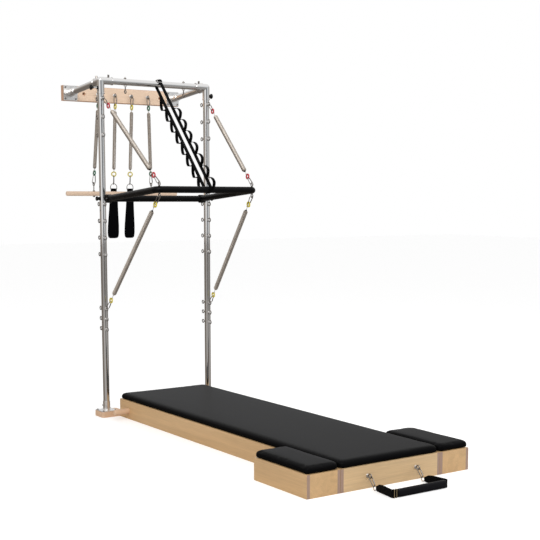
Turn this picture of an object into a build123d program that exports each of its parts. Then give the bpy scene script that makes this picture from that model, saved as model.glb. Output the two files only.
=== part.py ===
from build123d import *
import math
import os

# Pilates tower with a raised mat, for fixing to a wall.  All lengths are in millimetres.
# The origin is on the floor under the middle of the mat: +X is to the user's right when
# looking from the foot end to the wall, +Y points to the wall and +Z is up.

# ---- raised mat ------------------------------------------------------------------------
MAT_WIDTH = 660.0
MAT_LENGTH = 2390.0
BOX_HEIGHT = 120.0
PANEL = 18.0
DECK = 12.0
PAD_THICKNESS = 39.0
PAD_CORNER = 10.0
PAD_EDGE = 9.0
RIB_PITCH = 398.0
RIBS_EACH_SIDE = 2
WING_WIDTH = 205.0
WING_LENGTH = 460.0
WING_GAP = 2.0
WING_PAD_CORNER = 38.0
WING_BOLT = 8.0
WING_BOLT_HEAD = 13.0
WING_BOLT_INSET = 95.0
PEG = 38.0
PEG_REACH = 105.0
PEG_FROM_END = 120.0
PEG_Z = 52.0
PEG_EDGE = 9.5
FRONT_EYE_X = 160.0
FRONT_EYE_Z = 66.0

# ---- tower tubes and fittings ----------------------------------------------------------
TUBE = 42.0
TUBE_WALL = 2.5
UPRIGHT_X = 398.0
UPRIGHT_BEHIND = 65.0
TOP_Z = 2204.0
SOCKET = 48.0
SOCKET_REACH = 85.0
SOCKET_FIT = 0.1
TUBE_STOP = 27.0
RIM = 4.0
RIM_LENGTH = 8.0
SET_SCREW = 9.0
SET_SCREW_PLACE = 57.0
SET_SCREW_HEIGHT = 15.0
SET_SCREW_HEAD = 14.4
SET_SCREW_GAP = 0.2
PIN_HOLE = 12.2
PIN_HOLE_PITCH = 77.3
PIN_HOLES_BELOW = 5
PIN_HOLES_ABOVE = 1
PIVOT_Z = 1446.0

# ---- feet and wall board ---------------------------------------------------------------
FOOT_HEIGHT = 35.0
FOOT_LENGTH = 120.0
FOOT_CHAMFER = 12.0
FOOT_OUTER_X = 458.0
FOOT_INNER_X = 300.0
SEAT_GAP = 0.3
FLANGE_PLATE = 6.0
FOOT_PLATE = 112.0
FOOT_SLEEVE = 66.0
FOOT_SCREW_UP = 40.0
WALL_PLATE = 100.0
ARM_END_GAP = 5.0
PLATE_SCREW = 8.0
PLATE_SCREW_HEAD = 13.0
PLATE_SCREW_INSET = 12.0
BOARD_OVERHANG = 1.0
BOARD_HEIGHT = 103.0
BOARD_THICKNESS = 37.0
ARM_REACH = 471.0
ARM_DROP = 43.0
BOARD_EDGE = 6.0
BOARD_HOLE_SPACING = 592.0
BOARD_HOLE = 11.0
BOARD_COUNTERSINK = 24.0
BOARD_COUNTERSINK_DEPTH = 8.0
BOARD_HOLE_X = 0.0

# ---- eyes, hooks and rings -------------------------------------------------------------
EYE_HOLE = 15.0
EYE_STOCK = 5.0
EYE_NECK = 8.0
EYE_NUT = 16.0
EYE_NUT_HEIGHT = 7.0
FRONT_EYE_OFFSET = 36.0
REAR_EYE_OFFSET = 60.0
LOW_EYES = (586.0, 654.0, 722.0, 1080.0, 1190.0, 1300.0, 1410.0)
HIGH_EYES_BELOW_TOP = (347.0, 231.0, 114.0)
WALL_EYE_X = (-192.0, -64.0, 64.0, 192.0)
WALL_EYE_OFFSET = 15.0
TOP_EYE_X = 220.0
TOP_EYE_DROP = 62.0
HOOK_STOCK = 5.0
HOOK_WIDTH = 21.0
HOOK_SEAT = 3.2
RING_OUTER = 36.0
RING_STOCK = 7.0
LINK_GAP = 0.8
END_LOOP_HOLE = 12.0
END_LOOP_STOCK = 3.0
END_LOOP_GAP = 1.5

# ---- push-through bar ------------------------------------------------------------------
BAR = 42.0
BAR_WALL = 3.0
BAR_ARM_X = 354.0
BAR_REACH = 660.0
BAR_RISE = 54.0
BAR_BEND = 30.0
PIVOT_BLOCK = 56.0
PIVOT_BLOCK_WIDTH = 37.0
PIVOT_PIN = 12.0
PIVOT_FIT = 0.05
PIVOT_ENGAGEMENT = 28.0
BAR_EYE_X = 338.0
BAR_EYE_OFFSET = 36.0

# ---- knobs and lock pins ---------------------------------------------------------------
KNOB = 35.0
KNOB_HEIGHT = 18.0
KNOB_COLLAR = 18.0
KNOB_CROWN = 12.0
KNOB_SIDE = 7.0
PIVOT_KNOB = 30.0
PIVOT_KNOB_OFFSET = 30.0
LOCK_KNOB_OFFSET = 31.0
LOCK_PIN = 10.0
LOCK_PIN_TIP = 12.0
LEFT_LOCK_DROP = 47.0
RIGHT_LOCK_DROP = 57.0
LEFT_LOCK_OUT = 26.0

# ---- springs ---------------------------------------------------------------------------
ARM_SPRING = 29.0
ARM_HOOK = 68.0
ARM_COIL_START = 128.0
WALL_SPRING = 25.0
WALL_HOOK = 65.0
WALL_COIL_START = 104.0
COIL_TAPER = 14.0
COIL_TIP = 14.0
COIL_STUB = 4.0
COIL_WALL = 3.0
LOWER_SLACK = 6.0

# ---- roll-down bar and hand loops ------------------------------------------------------
ROLL_BAR = 32.0
ROLL_BAR_LENGTH = 860.0
ROLL_BAR_X = -38.0
ROLL_BAR_EDGE = 6.0
ROLL_BAR_FROM_BOARD = 55.0
ROLL_BAR_DROP = 680.0
ROLL_EYE_SPREAD = 224.0
ROLL_EYE_HEIGHT = 66.0
LOOP_LEAN = 26.0
LOOP_LINK_TURN = 34.0
LOOP_RING_DROP = 634.0
D_RING_WIDTH = 54.0
D_RING_DROP = 14.0
LOOP_LENGTH = 348.0
LOOP_THICKNESS = 32.0
LOOP_PADDING = 9.0
LOOP_WEBBING = 42.0
LOOP_WIDTH = 76.0
LOOP_NECK = 6.5
LOOP_WAIST = 0.78
LOOP_BELLY = 90.0
LOOP_CORNER = 14.0

# ---- straps ----------------------------------------------------------------------------
STRAP_WIDTH = 25.0
STRAP_THICKNESS = 3.0
STRAP_CLEAR = 0.3
STRAP_X = 26.0
FOOT_STRAP_HEIGHT = 43.0
FOOT_STRAP_THICKNESS = 4.0
FOOT_STRAP_FRONT = 217.0
FOOT_STRAP_HALF = 184.0
FOOT_STRAP_BEND = 14.0
FOOT_HOOK_REACH = 54.0
FOOT_HOOK_Z = 20.0
FOOT_RING = 28.0
FOOT_RING_STOCK = 4.0
FOOT_SLEEVE_LEFT = -150.0
FOOT_SLEEVE_RIGHT = 166.0
FOOT_SLEEVE_THICKNESS = 20.0
FOOT_SLEEVE_EDGE = 6.5
FOOT_STRAP_LIFT = 0.5

# ---- places that follow from the sizes above ------------------------------------------
MAT_FRONT_Y = -MAT_LENGTH / 2
MAT_HALF = MAT_WIDTH / 2
R = TUBE / 2
PEG_Y = MAT_LENGTH / 2 - PEG_FROM_END
UPRIGHT_Y = MAT_LENGTH / 2 + UPRIGHT_BEHIND
BOARD_FACE_Y = UPRIGHT_Y + ARM_REACH
BOARD_Z = TOP_Z - ARM_DROP
UPRIGHT_EYE_Z = LOW_EYES + tuple(TOP_Z - drop for drop in HIGH_EYES_BELOW_TOP)
UPPER_EYE_Z = UPRIGHT_EYE_Z[9]
LOWER_EYE_Z = UPRIGHT_EYE_Z[2]
BAR_FRONT_Y = UPRIGHT_Y - BAR_REACH
BAR_FRONT_Z = PIVOT_Z + BAR_RISE
LEFT_LOCK_Z = TOP_Z - LEFT_LOCK_DROP
RIGHT_LOCK_Z = TOP_Z - RIGHT_LOCK_DROP
ROLL_BAR_Y = BOARD_FACE_Y - ROLL_BAR_FROM_BOARD
ROLL_BAR_Z = BOARD_Z - ROLL_BAR_DROP
LOOP_RING_Z = BOARD_Z - LOOP_RING_DROP
SIDES = (("left", -1), ("right", 1))
nodes = {}


def add(name, *solids):
    """Adds solids to the named node."""
    nodes.setdefault(name, []).extend(solids)


def block(x0, x1, y0, y1, z0, z1):
    """A box between two corners."""
    middle = ((x0 + x1) / 2, (y0 + y1) / 2, (z0 + z1) / 2)
    return Pos(*middle) * Box(abs(x1 - x0), abs(y1 - y0), abs(z1 - z0))


def rod(start, end, radius):
    """A round bar from start to end."""
    along = Vector(*end) - Vector(*start)
    bottom = (Align.CENTER, Align.CENTER, Align.MIN)
    return Plane(origin=start, z_dir=along) * Cylinder(radius, along.length, align=bottom)


def pipe(start, end, radius, wall):
    """A round tube from start to end."""
    return rod(start, end, radius) - rod(start, end, radius - wall)


def turned(points, origin, direction):
    """A solid of revolution: (radius, height) points turned about direction from origin."""
    outline = Polyline(*[(r, 0, h) for r, h in points], close=True)
    return Plane(origin=origin, z_dir=direction) * revolve(make_face(outline), Axis.Z)


def flat_ring(outer, hole, thickness, centre, axis):
    """A round link of flat stock, centred, whose hole runs along axis."""
    face = Circle(outer) - Circle(hole)
    plane = Plane(origin=centre, z_dir=axis)
    return plane * extrude(face, thickness / 2, both=True)


def prism(diameter, height, origin, direction, sides=6):
    """A nut or bolt head, measured across its corners."""
    plane = Plane(origin=origin, z_dir=direction)
    return plane * extrude(RegularPolygon(diameter / 2, sides), height)


def moved(point, direction, distance):
    """The point at a distance from point along direction."""
    return Vector(*point) + Vector(*direction).normalized() * distance


def eye(centre, direction, reach, nut=True):
    """An eye whose hole runs along X, on a neck that goes reach from its centre."""
    outer = EYE_HOLE / 2 + EYE_STOCK
    ring = flat_ring(outer, EYE_HOLE / 2, EYE_STOCK, centre, (1, 0, 0))
    root = moved(centre, direction, EYE_HOLE / 2 + EYE_STOCK / 2)
    seat = moved(centre, direction, reach)
    solid = ring + rod(root, seat, EYE_NECK / 2)
    if nut:
        solid += prism(EYE_NUT, EYE_NUT_HEIGHT, seat, Vector(*direction) * -1)
    return solid


def hook(pin, direction, across, length):
    """An oval snap hook: its near bar crosses at pin, its far bar is length further."""
    middle = moved(pin, direction, length / 2)
    plane = Plane(origin=middle, x_dir=direction, z_dir=Vector(*direction).cross(Vector(*across)))
    outer = SlotOverall(length + HOOK_STOCK, HOOK_WIDTH)
    inner = SlotOverall(length - HOOK_STOCK, HOOK_WIDTH - 2 * HOOK_STOCK)
    return plane * extrude(outer - inner, HOOK_STOCK / 2, both=True)


def ring_place(length):
    """How far the colour ring's centre is from a hook's near bar."""
    inner = RING_OUTER / 2 - RING_STOCK
    return length - HOOK_STOCK / 2 - LINK_GAP + inner


def loop_place(length):
    """How far the spring's end loop is from a hook's near bar."""
    return ring_place(length) + RING_OUTER / 2 - RING_STOCK - END_LOOP_GAP + END_LOOP_HOLE / 2


def colour_ring(pin, direction, across, length):
    """The ring between a snap hook and its spring, in line with the pull."""
    along = Vector(*direction).normalized()
    centre = moved(pin, along, ring_place(length))
    square = Vector(*across) - along * along.dot(Vector(*across))
    return flat_ring(RING_OUTER / 2, RING_OUTER / 2 - RING_STOCK, HOOK_STOCK, centre, square)


def end_loop(pin, direction, across, length, start, tip):
    """A spring's end: a loop through the ring and the stub that carries it."""
    direction = Vector(*direction)
    place = loop_place(length)
    centre = moved(pin, direction, place)
    outer = END_LOOP_HOLE / 2 + END_LOOP_STOCK
    normal = direction.cross(Vector(*across))
    loop = flat_ring(outer, END_LOOP_HOLE / 2, END_LOOP_STOCK, centre, normal)
    reach = start + tip - place - END_LOOP_HOLE / 2 - END_LOOP_STOCK / 2
    root = moved(centre, direction, END_LOOP_HOLE / 2 + END_LOOP_STOCK / 2 + reach / 2)
    stub = Plane(origin=root, x_dir=normal, z_dir=direction)
    return loop + stub * Box(END_LOOP_STOCK, COIL_TIP, reach)


def spring(near, far, radius, length, start, across_near, across_far):
    """One coil as a tube of its wire's thickness: end loops, tapered ends, straight body."""
    along = Vector(*far) - Vector(*near)
    body = along.length - 2 * start
    tip = COIL_TIP / 2
    inside = radius - COIL_WALL
    outline = [(tip - 1, 0), (tip, 0), (radius, COIL_TAPER), (radius, body - COIL_TAPER),
               (tip, body), (tip - 1, body), (inside, body - COIL_TAPER), (inside, COIL_TAPER)]
    coil = turned(outline, moved(near, along, start), along)
    coil += end_loop(near, along, across_near, length, start, COIL_STUB)
    coil += end_loop(far, along * -1, across_far, length, start, COIL_STUB)
    return coil


# ---- the raised mat: one long box, two wings, their pads and the peg ----------------------
def mat_centre():
    """The long box: side and end panels, ribs, deck and pad."""
    ends = MAT_LENGTH / 2
    inside = MAT_HALF - PANEL
    wing_bolts = [(s * MAT_HALF, y, BOX_HEIGHT / 2) for s in (-1, 1) for y in wing_bolt_ys()]
    for side in (-1, 1):
        panel = block(side * inside, side * MAT_HALF, -ends, ends, 0, BOX_HEIGHT)
        panel -= rod((side * (inside - 1), PEG_Y, PEG_Z), (side * (MAT_HALF + 1), PEG_Y, PEG_Z),
                     PEG / 2 + SOCKET_FIT)
        for x, y, z in wing_bolts:
            panel -= rod((x - PANEL - 1, y, z), (x + PANEL + 1, y, z), WING_BOLT / 2 + SOCKET_FIT)
        add("mat_side_panels", panel)
        add("mat_end_panels", block(-inside, inside, side * (ends - PANEL), side * ends,
                                    0, BOX_HEIGHT))
    for index in range(-RIBS_EACH_SIDE, RIBS_EACH_SIDE + 1):
        y = index * RIB_PITCH
        add("mat_ribs", block(-inside, inside, y - PANEL / 2, y + PANEL / 2,
                              0, BOX_HEIGHT - DECK))
    add("mat_decks", block(-inside, inside, -ends + PANEL, ends - PANEL,
                           BOX_HEIGHT - DECK, BOX_HEIGHT))
    pad = block(-MAT_HALF, MAT_HALF, -ends, ends, BOX_HEIGHT, BOX_HEIGHT + PAD_THICKNESS)
    pad = fillet(pad.edges().filter_by(Axis.Z), PAD_CORNER)
    pad = fillet(pad.faces().sort_by(Axis.Z)[-1].edges(), PAD_EDGE)
    add("mat_pad", pad)


def wing_bolt_ys():
    """Where the wings' joining bolts sit along the mat."""
    return (MAT_FRONT_Y + WING_BOLT_INSET, MAT_FRONT_Y + WING_LENGTH - WING_BOLT_INSET)


def wings():
    """The two short boxes beside the foot end, with their pads and joining bolts."""
    y0 = MAT_FRONT_Y
    y1 = MAT_FRONT_Y + WING_LENGTH
    inner = MAT_HALF + WING_GAP
    outer = inner + WING_WIDTH
    z = BOX_HEIGHT / 2
    for name, side in SIDES:
        near = block(side * inner, side * (inner + PANEL), y0, y1, 0, BOX_HEIGHT)
        for y in wing_bolt_ys():
            near -= rod((side * (inner - 1), y, z), (side * (inner + PANEL + 1), y, z),
                        WING_BOLT / 2 + SOCKET_FIT)
            start = (side * (MAT_HALF - PANEL), y, z)
            end = (side * (inner + PANEL), y, z)
            bolt = rod(start, end, WING_BOLT / 2)
            bolt += prism(WING_BOLT_HEAD, WING_BOLT, start, (-side, 0, 0))
            bolt += prism(WING_BOLT_HEAD, WING_BOLT, end, (side, 0, 0))
            add("wing_bolts", bolt)
        add("wing_panels", near)
        add("wing_panels", block(side * (outer - PANEL), side * outer, y0, y1, 0, BOX_HEIGHT))
        for y in (y0, y1 - PANEL):
            add("wing_panels", block(side * (inner + PANEL), side * (outer - PANEL), y, y + PANEL,
                                     0, BOX_HEIGHT))
        add("mat_decks", block(side * (inner + PANEL), side * (outer - PANEL), y0 + PANEL,
                               y1 - PANEL, BOX_HEIGHT - DECK, BOX_HEIGHT))
        pad = block(side * inner, side * outer, y0, y1, BOX_HEIGHT, BOX_HEIGHT + PAD_THICKNESS)
        outside = pad.edges().filter_by(Axis.Z).sort_by(Axis.X)
        outside = outside[2:] if side > 0 else outside[:2]
        pad = fillet(outside, WING_PAD_CORNER)
        pad = fillet(pad.faces().sort_by(Axis.Z)[-1].edges(), PAD_EDGE)
        add(f"{name}_wing_pad", pad)


def hand_peg():
    """The dowel that crosses the mat box and stands out on both sides for the hands."""
    reach = MAT_HALF + PEG_REACH
    peg = rod((-reach, PEG_Y, PEG_Z), (reach, PEG_Y, PEG_Z), PEG / 2)
    peg = fillet(peg.edges().filter_by(GeomType.CIRCLE), PEG_EDGE)
    add("hand_peg", peg)


def front_eyes():
    """The two eyes on the foot-end panel that hold the foot strap."""
    for side in (-1, 1):
        centre = (side * FRONT_EYE_X, MAT_FRONT_Y - eye_stand(), FRONT_EYE_Z)
        add("front_eyebolts", eye(centre, (0, 1, 0), eye_stand()))


def eye_stand():
    """How far an eye's centre stands from the face that it is screwed to."""
    return EYE_HOLE / 2 + EYE_STOCK + EYE_NUT_HEIGHT


# ---- the tower ------------------------------------------------------------------------------
def arm_ends(side):
    """The centre lines' meeting point in the corner, and the arm's point on the board."""
    return (side * UPRIGHT_X, UPRIGHT_Y, TOP_Z), (side * UPRIGHT_X, BOARD_FACE_Y, BOARD_Z)


def uprights():
    """The two posts, with the row of cross holes for the push-through bar's pins."""
    bottom = FOOT_HEIGHT + FLANGE_PLATE
    for name, side in SIDES:
        x = side * UPRIGHT_X
        post = pipe((x, UPRIGHT_Y, bottom), (x, UPRIGHT_Y, TOP_Z - TUBE_STOP), R, TUBE_WALL)
        for index in range(-PIN_HOLES_BELOW, PIN_HOLES_ABOVE + 1):
            z = PIVOT_Z + index * PIN_HOLE_PITCH
            post -= rod((x - TUBE, UPRIGHT_Y, z), (x + TUBE, UPRIGHT_Y, z), PIN_HOLE / 2)
        z = LEFT_LOCK_Z if side < 0 else RIGHT_LOCK_Z
        post -= rod((x, UPRIGHT_Y, z), (x + side * TUBE, UPRIGHT_Y, z), lock_hole())
        add(f"{name}_upright", post)


def lock_hole():
    """The radius of the holes that a lock pin slides in."""
    return LOCK_PIN / 2 + PIVOT_FIT


def top_bar_and_arms():
    """The cross tube between the corners and the two arms that slope to the wall."""
    reach = UPRIGHT_X - TUBE_STOP
    add("top_bar", pipe((-reach, UPRIGHT_Y, TOP_Z), (reach, UPRIGHT_Y, TOP_Z), R, TUBE_WALL))
    for name, side in SIDES:
        corner, wall = arm_ends(side)
        along = Vector(*wall) - Vector(*corner)
        start = moved(corner, along, TUBE_STOP)
        end = moved(wall, along, -FLANGE_PLATE - ARM_END_GAP)
        add("side_arms", pipe(start, end, R, TUBE_WALL))


def corner_elbows():
    """The three-way corner fittings: mitred sockets for post, cross tube and arm."""
    outer = SOCKET / 2
    bore = R + SOCKET_FIT
    for name, side in SIDES:
        corner, wall = arm_ends(side)
        along = Vector(*wall) - Vector(*corner)
        ways = (Vector(0, 0, -1), Vector(-side, 0, 0), along.normalized())
        body = Pos(*corner) * Sphere(outer)
        for way in ways:
            mouth = moved(corner, way, SOCKET_REACH)
            body += rod(corner, mouth, outer)
            body += rod(moved(mouth, way, -RIM_LENGTH), mouth, outer + RIM / 2)
        for way in ways:
            body -= rod(moved(corner, way, TUBE_STOP - 1), moved(corner, way, SOCKET_REACH + 1), bore)
        z = LEFT_LOCK_Z if side < 0 else RIGHT_LOCK_Z
        x = side * UPRIGHT_X
        body -= rod((x, UPRIGHT_Y, z), (x + side * SOCKET, UPRIGHT_Y, z), lock_hole())
        for way in ways[1:]:
            foot = moved(corner, way, SET_SCREW_PLACE)
            up = Vector(0, 0, 1) - way * way.Z
            up = up.normalized()
            body -= rod(foot, moved(foot, up, SOCKET), SET_SCREW / 2 + SOCKET_FIT)
            seat = moved(foot, up, R + SOCKET_FIT)
            head = moved(foot, up, outer + SOCKET_FIT)
            screw = rod(seat, moved(head, up, 1), SET_SCREW / 2)
            screw += prism(SET_SCREW_HEAD, SET_SCREW_HEIGHT, moved(head, up, SET_SCREW_GAP), up)
            add("set_screws", screw)
        add(f"{name}_corner_elbow", body)


def feet():
    """The wooden foot blocks, which butt against the mat, with their flanges and screws."""
    front = MAT_LENGTH / 2 + SEAT_GAP
    top = FOOT_HEIGHT + FLANGE_PLATE
    half = FOOT_PLATE / 2
    for name, side in SIDES:
        x = side * UPRIGHT_X
        foot = block(side * FOOT_INNER_X, side * FOOT_OUTER_X, front, UPRIGHT_Y + FOOT_LENGTH / 2,
                     0, FOOT_HEIGHT)
        clear = [edge for edge in foot.edges().filter_by(Axis.Z)
                 if edge.center().Y > UPRIGHT_Y or abs(edge.center().X) > MAT_HALF]
        foot = chamfer(clear, FOOT_CHAMFER)
        add("foot_blocks", foot)
        plate = block(x - half, x + half, UPRIGHT_Y - half, UPRIGHT_Y + half, FOOT_HEIGHT, top)
        plate = fillet(plate.edges().filter_by(Axis.Z), FLANGE_PLATE)
        plate += rod((x, UPRIGHT_Y, FOOT_HEIGHT), (x, UPRIGHT_Y, FOOT_HEIGHT + FOOT_SLEEVE), SOCKET / 2)
        plate -= rod((x, UPRIGHT_Y, top), (x, UPRIGHT_Y, top + FOOT_SLEEVE), R + SOCKET_FIT)
        z = FOOT_HEIGHT + FOOT_SCREW_UP
        wall = (x + side * (R + SOCKET_FIT), UPRIGHT_Y, z)
        plate -= rod((x, UPRIGHT_Y, z), (x + side * SOCKET, UPRIGHT_Y, z), SET_SCREW / 2 + SOCKET_FIT)
        screw = rod(wall, moved(wall, (side, 0, 0), SOCKET / 2 - R + FLANGE_PLATE), SET_SCREW / 2)
        add("set_screws", screw)
        add("foot_flanges", plate)
        for dx in (-1, 1):
            for dy in (-1, 1):
                at = (x + dx * (half - PLATE_SCREW_INSET), UPRIGHT_Y + dy * (half - PLATE_SCREW_INSET),
                      top)
                add("flange_screws", prism(PLATE_SCREW_HEAD, PLATE_SCREW / 2, at, (0, 0, 1)))


def wall_board():
    """The plank that is screwed to the wall, with the flanges that hold the side arms."""
    half = BOARD_HEIGHT / 2
    back = BOARD_FACE_Y + BOARD_THICKNESS
    end = UPRIGHT_X + WALL_PLATE / 2 + BOARD_OVERHANG
    board = block(-end, end, BOARD_FACE_Y, back, BOARD_Z - half, BOARD_Z + half)
    front = board.faces().sort_by(Axis.Y)[0]
    board = fillet(front.edges(), BOARD_EDGE)
    for side in (-1, 1):
        x = BOARD_HOLE_X + side * BOARD_HOLE_SPACING / 2
        board -= rod((x, BOARD_FACE_Y - 1, BOARD_Z), (x, back + 1, BOARD_Z), BOARD_HOLE / 2)
        sink = [(0, -1), (BOARD_COUNTERSINK / 2, -1), (BOARD_COUNTERSINK / 2, 0),
                (BOARD_HOLE / 2, BOARD_COUNTERSINK_DEPTH), (0, BOARD_COUNTERSINK_DEPTH)]
        board -= turned(sink, (x, BOARD_FACE_Y, BOARD_Z), (0, 1, 0))
    add("wall_board", board)
    plate_half = WALL_PLATE / 2
    for name, side in SIDES:
        corner, wall = arm_ends(side)
        along = Vector(*wall) - Vector(*corner)
        x = side * UPRIGHT_X
        plate_face = BOARD_FACE_Y - FLANGE_PLATE
        plate = block(x - plate_half, x + plate_half, plate_face, BOARD_FACE_Y,
                      BOARD_Z - plate_half, BOARD_Z + plate_half)
        plate = fillet(plate.edges().filter_by(Axis.Y), FLANGE_PLATE)
        mouth = moved(wall, along, -SOCKET_REACH)
        plate += rod(mouth, moved(wall, along, -FLANGE_PLATE / 2), SOCKET / 2)
        plate += rod(mouth, moved(mouth, along, RIM_LENGTH), (SOCKET + RIM) / 2)
        plate -= rod(moved(mouth, along, -1), moved(wall, along, SEAT_GAP - FLANGE_PLATE - ARM_END_GAP),
                     R + SOCKET_FIT)
        plate -= block(x - plate_half, x + plate_half, BOARD_FACE_Y, BOARD_FACE_Y + SOCKET,
                       BOARD_Z - plate_half, BOARD_Z + plate_half)
        add("wall_flanges", plate)
        for dx in (-1, 1):
            for dz in (-1, 1):
                at = (x + dx * (plate_half - PLATE_SCREW_INSET), plate_face,
                      BOARD_Z + dz * (plate_half - PLATE_SCREW_INSET))
                add("flange_screws", prism(PLATE_SCREW_HEAD, PLATE_SCREW / 2, at, (0, -1, 0)))


def eyebolts():
    """The spring eyes on the posts, the top bar and the wall board."""
    for name, side in SIDES:
        for z in UPRIGHT_EYE_Z:
            for way, offset in ((-1, FRONT_EYE_OFFSET), (1, REAR_EYE_OFFSET)):
                centre = (side * UPRIGHT_X, UPRIGHT_Y + way * offset, z)
                add(f"{name}_upright_eyebolts", eye(centre, (0, -way, 0), offset - R - SOCKET_FIT))
        centre = (side * TOP_EYE_X, UPRIGHT_Y, TOP_Z - TOP_EYE_DROP)
        add("top_bar_eyebolts", eye(centre, (0, 0, 1), TOP_EYE_DROP - R - SOCKET_FIT))
        nut_seat = (side * TOP_EYE_X, UPRIGHT_Y, TOP_Z + R + SOCKET_FIT)
        add("top_bar_eyebolts", prism(EYE_NUT, EYE_NUT_HEIGHT, nut_seat, (0, 0, 1)))
    for x in WALL_EYE_X:
        centre = (x, BOARD_FACE_Y - WALL_EYE_OFFSET, BOARD_Z)
        add("wall_eyebolts", eye(centre, (0, 1, 0), WALL_EYE_OFFSET, nut=False))


# ---- the push-through bar ------------------------------------------------------------------
def push_bar():
    """The swinging frame: bent tube, rear cross tube, pivot blocks, eyes and pins."""
    pivot_y = UPRIGHT_Y
    slope = Vector(0, BAR_FRONT_Y - pivot_y, BAR_FRONT_Z - PIVOT_Z).normalized()
    radius = BAR / 2
    start = PIVOT_BLOCK / 2 + SOCKET_FIT
    left = moved((-BAR_ARM_X, pivot_y, PIVOT_Z), slope, start)
    right = moved((BAR_ARM_X, pivot_y, PIVOT_Z), slope, start)
    path = FilletPolyline(left, (-BAR_ARM_X, BAR_FRONT_Y, BAR_FRONT_Z),
                          (BAR_ARM_X, BAR_FRONT_Y, BAR_FRONT_Z), right, radius=BAR_BEND)
    section = Plane(origin=left, z_dir=slope) * (Circle(radius) - Circle(radius - BAR_WALL))
    add("push_bar_tube", sweep(section, path=path))
    block_inner = BAR_ARM_X + PIVOT_BLOCK_WIDTH / 2 - PIVOT_BLOCK_WIDTH
    block_outer = block_inner + PIVOT_BLOCK_WIDTH
    add("push_bar_rear_tube", pipe((-block_inner, pivot_y, PIVOT_Z), (block_inner, pivot_y, PIVOT_Z),
                                   radius, BAR_WALL))
    for name, side in SIDES:
        inner = (side * block_inner, pivot_y, PIVOT_Z)
        outer = (side * block_outer, pivot_y, PIVOT_Z)
        hub = rod(inner, outer, PIVOT_BLOCK / 2)
        hub = fillet(hub.edges().filter_by(GeomType.CIRCLE), RIM)
        bore_end = moved(outer, (-side, 0, 0), PIVOT_ENGAGEMENT + 1)
        hub -= rod(bore_end, moved(outer, (side, 0, 0), 1), PIVOT_PIN / 2 + PIVOT_FIT)
        add("push_bar_pivot_blocks", hub)
        for up in (-1, 1):
            centre = (side * BAR_EYE_X, BAR_FRONT_Y, BAR_FRONT_Z + up * BAR_EYE_OFFSET)
            reach = BAR_EYE_OFFSET - radius - SOCKET_FIT
            add("push_bar_eyebolts", eye(centre, (0, 0, -up), reach, nut=False))
        tip = moved(outer, (-side, 0, 0), PIVOT_ENGAGEMENT)
        knob_start = UPRIGHT_X + PIVOT_KNOB_OFFSET
        pin = rod(tip, (side * (knob_start + 1), pivot_y, PIVOT_Z), PIVOT_PIN / 2)
        pin += knob(PIVOT_KNOB, (side * knob_start, pivot_y, PIVOT_Z), side,
                    PIVOT_KNOB_OFFSET - R - SEAT_GAP)
        add(f"{name}_pivot_pin", pin)


def knob(diameter, origin, side, neck):
    """A mushroom knob whose head starts at origin, with a collar neck back towards X = 0."""
    r = diameter / 2
    outline = [(0, -neck), (KNOB_COLLAR / 2, -neck), (KNOB_COLLAR / 2, 0), (r, KNOB_SIDE),
               (r, KNOB_CROWN), (KNOB_COLLAR / 2, KNOB_HEIGHT), (0, KNOB_HEIGHT)]
    return turned(outline, origin, (side, 0, 0))


def lock_knobs():
    """The pull pins that lock the posts in the corner fittings; the left one is drawn out."""
    for name, side in SIDES:
        z = LEFT_LOCK_Z if side < 0 else RIGHT_LOCK_Z
        out = LEFT_LOCK_OUT if side < 0 else 0.0
        head = side * (UPRIGHT_X + LOCK_KNOB_OFFSET + out)
        tip = side * (UPRIGHT_X - LOCK_PIN_TIP + out)
        pin = rod((tip, UPRIGHT_Y, z), (head + side, UPRIGHT_Y, z), LOCK_PIN / 2)
        neck = LOCK_KNOB_OFFSET - SOCKET / 2 - SEAT_GAP
        add(f"{name}_lock_pin", pin + knob(KNOB, (head, UPRIGHT_Y, z), side, neck))


# ---- springs --------------------------------------------------------------------------------
def arm_springs():
    """The four springs of the push-through bar with their hooks and colour rings."""
    across = (1, 0, 0)
    radius = ARM_SPRING / 2
    front = UPRIGHT_Y - FRONT_EYE_OFFSET
    for name, side in SIDES:
        for level, eye_z, up in (("upper", UPPER_EYE_Z, 1), ("lower", LOWER_EYE_Z, -1)):
            post_eye = Vector(side * UPRIGHT_X, front, eye_z)
            bar_eye = Vector(side * BAR_EYE_X, BAR_FRONT_Y, BAR_FRONT_Z + up * BAR_EYE_OFFSET)
            along = bar_eye - post_eye
            near = moved(post_eye, along, HOOK_SEAT)
            far = moved(bar_eye, along, -HOOK_SEAT)
            slack = LOWER_SLACK if level == "lower" else 0.0
            ring_far = moved(far, along, slack)
            add(f"{level}_spring_post_links", hook(near, along, across, ARM_HOOK),
                colour_ring(near, along, across, ARM_HOOK))
            rings = "upper_spring_bar_hooks" if up > 0 else "lower_spring_bar_rings"
            add(f"{level}_spring_bar_hooks", hook(far, along * -1, across, ARM_HOOK))
            add(rings, colour_ring(ring_far, along * -1, across, ARM_HOOK))
            add(f"{name}_{level}_spring", spring(near, ring_far, radius, ARM_HOOK, ARM_COIL_START,
                                                 across, across))


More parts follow.
